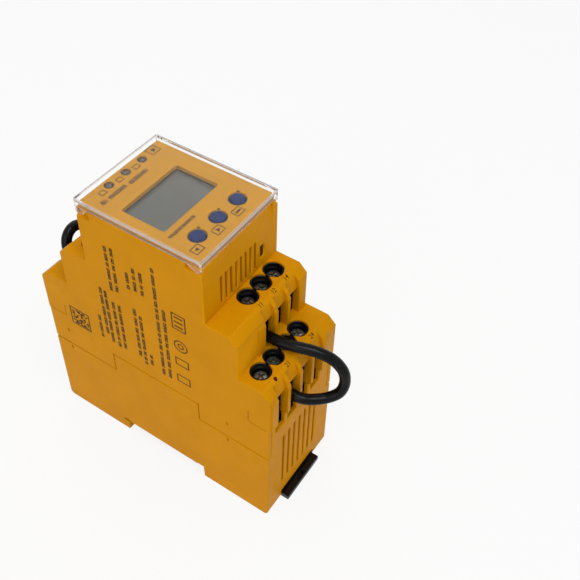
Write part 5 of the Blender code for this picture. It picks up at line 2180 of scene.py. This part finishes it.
@dataclass
class Studio:
    """Floor, soft light and camera."""

    target: Triple = (0.0, 0.0, mm(45.0))
    eye: Triple = (mm(-136.65), mm(-123.0), mm(259.84))
    right: Triple = (0.54960, -0.83501, 0.02633)
    down: Triple = (-0.56941, -0.39748, -0.71957)
    ahead: Triple = (0.61131, 0.38048, -0.69392)
    lens: float = 53.19
    sensor: float = 36.0
    rise: float = -0.086
    clip: Pair = (mm(5.0), 20.0)
    floor_width: float = 6.0
    floor_gap: float = mm(0.1)
    world_light: float = 0.5
    backdrop: float = 1.0
    lamps: tuple[Lamp, ...] = (
        Lamp("key_lamp", (-0.20, -0.26, 0.78), 0.45, 2.6),
        Lamp("side_lamp", (-0.60, -0.05, 0.30), 0.5, 0.7),
        Lamp("back_lamp", (0.35, 0.40, 0.55), 0.5, 0.5),
    )

    def build(self, finishes: Finishes) -> None:
        """Set up the floor, the lamps, the world and the camera.

        Args:
            finishes: The finishes, for the floor's.
        """
        self.floor(finishes.floor)
        for lamp in self.lamps:
            self.hang(lamp)
        self.world()
        self.camera()
        bpy.context.scene.view_settings.view_transform = "Standard"

    def floor(self, finish: Material) -> None:
        """Lay the pale floor under the relay.

        Args:
            finish: Its material.
        """
        shape = bmesh.new()
        bmesh.ops.create_grid(shape, x_segments=1, y_segments=1, size=self.floor_width / 2,
                              matrix=Matrix.Translation((0.0, 0.0, CAD_BOX[0].z - self.floor_gap)))
        floor = linked("studio_floor", as_mesh(shape, "studio_floor"))
        floor.data.materials.append(finish)

    def hang(self, lamp: Lamp) -> None:
        """Hang one lamp so that it faces the relay.

        Args:
            lamp: The lamp.
        """
        light = bpy.data.lights.new(lamp.name, "AREA")
        light.size = lamp.size
        light.energy = lamp.power
        item = linked(lamp.name, light)
        item.location = lamp.place
        item.rotation_euler = (Vector(self.target) - Vector(lamp.place)).to_track_quat("-Z", "Y").to_euler()

    def world(self) -> None:
        """Surround the scene with plain light: pale for lighting, white where the camera sees it."""
        world = bpy.data.worlds.new("studio_world")
        world.use_nodes = True
        graph = Nodes(world.node_tree)
        light = graph.tree.nodes["Background"]
        white = graph.node("ShaderNodeBackground")
        for background, strength in ((light, self.world_light), (white, self.backdrop)):
            background.inputs["Color"].default_value = (1.0, 1.0, 1.0, 1.0)
            background.inputs["Strength"].default_value = strength
        bounces = graph.node("ShaderNodeLightPath").outputs["Diffuse Depth"]
        share = graph.combined("MULTIPLY", graph.in_sight(), graph.combined("LESS_THAN", bounces, 0.5))
        both = graph.blend(share, light.outputs["Background"], white.outputs["Background"])
        graph.link(both, graph.tree.nodes["World Output"], "Surface")
        bpy.context.scene.world = world

    def camera(self) -> None:
        """Place the camera."""
        lens = bpy.data.cameras.new("studio_camera")
        lens.sensor_width = self.sensor
        lens.lens = self.lens
        lens.shift_y = self.rise
        lens.clip_start, lens.clip_end = self.clip
        item = linked("studio_camera", lens)
        turn = Matrix([Vector(self.right), -Vector(self.down), -Vector(self.ahead)]).transposed()
        item.matrix_world = Matrix.Translation(self.eye) @ turn.to_4x4()
        bpy.context.scene.camera = item


def clear_start_scene() -> None:
    """Remove what a new scene holds, and leave the frame's objects."""
    for item in list(bpy.data.objects):
        if item.name in ("Cube", "Light", "Camera"):
            bpy.data.objects.remove(item, do_unlink=True)


def dress_hidden_nodes(finishes: Finishes) -> None:
    """Give every CAD node a finish, also those that a finer piece stands for.

    Args:
        finishes: The finishes.
    """
    by_word = {"housing": finishes.housing, "panel": finishes.panel, "cover": finishes.cover,
               "screw": finishes.screw, "cage": finishes.cage, "board": finishes.board, "key": finishes.key}
    for name, node in frame["nodes"].items():
        finish = next((material for word, material in by_word.items() if word in name), finishes.black)
        node.data.materials.clear()
        node.data.materials.append(finish)


def main() -> None:
    """Build the studio and every sub-assembly, and report the pieces."""
    logging.basicConfig(level=logging.INFO, format="%(message)s")
    clear_start_scene()
    finishes = Finishes()
    Studio().build(finishes)
    dress_hidden_nodes(finishes)
    for kind in (LinkWires, Housing, FrontPanel, ClearCover, Terminals, RailClip, Internals):
        part = kind(finishes)
        part.build()
        LOG.info("%s: %d pieces", kind.__name__, len(part.made))


if __name__ == "__main__":
    main()
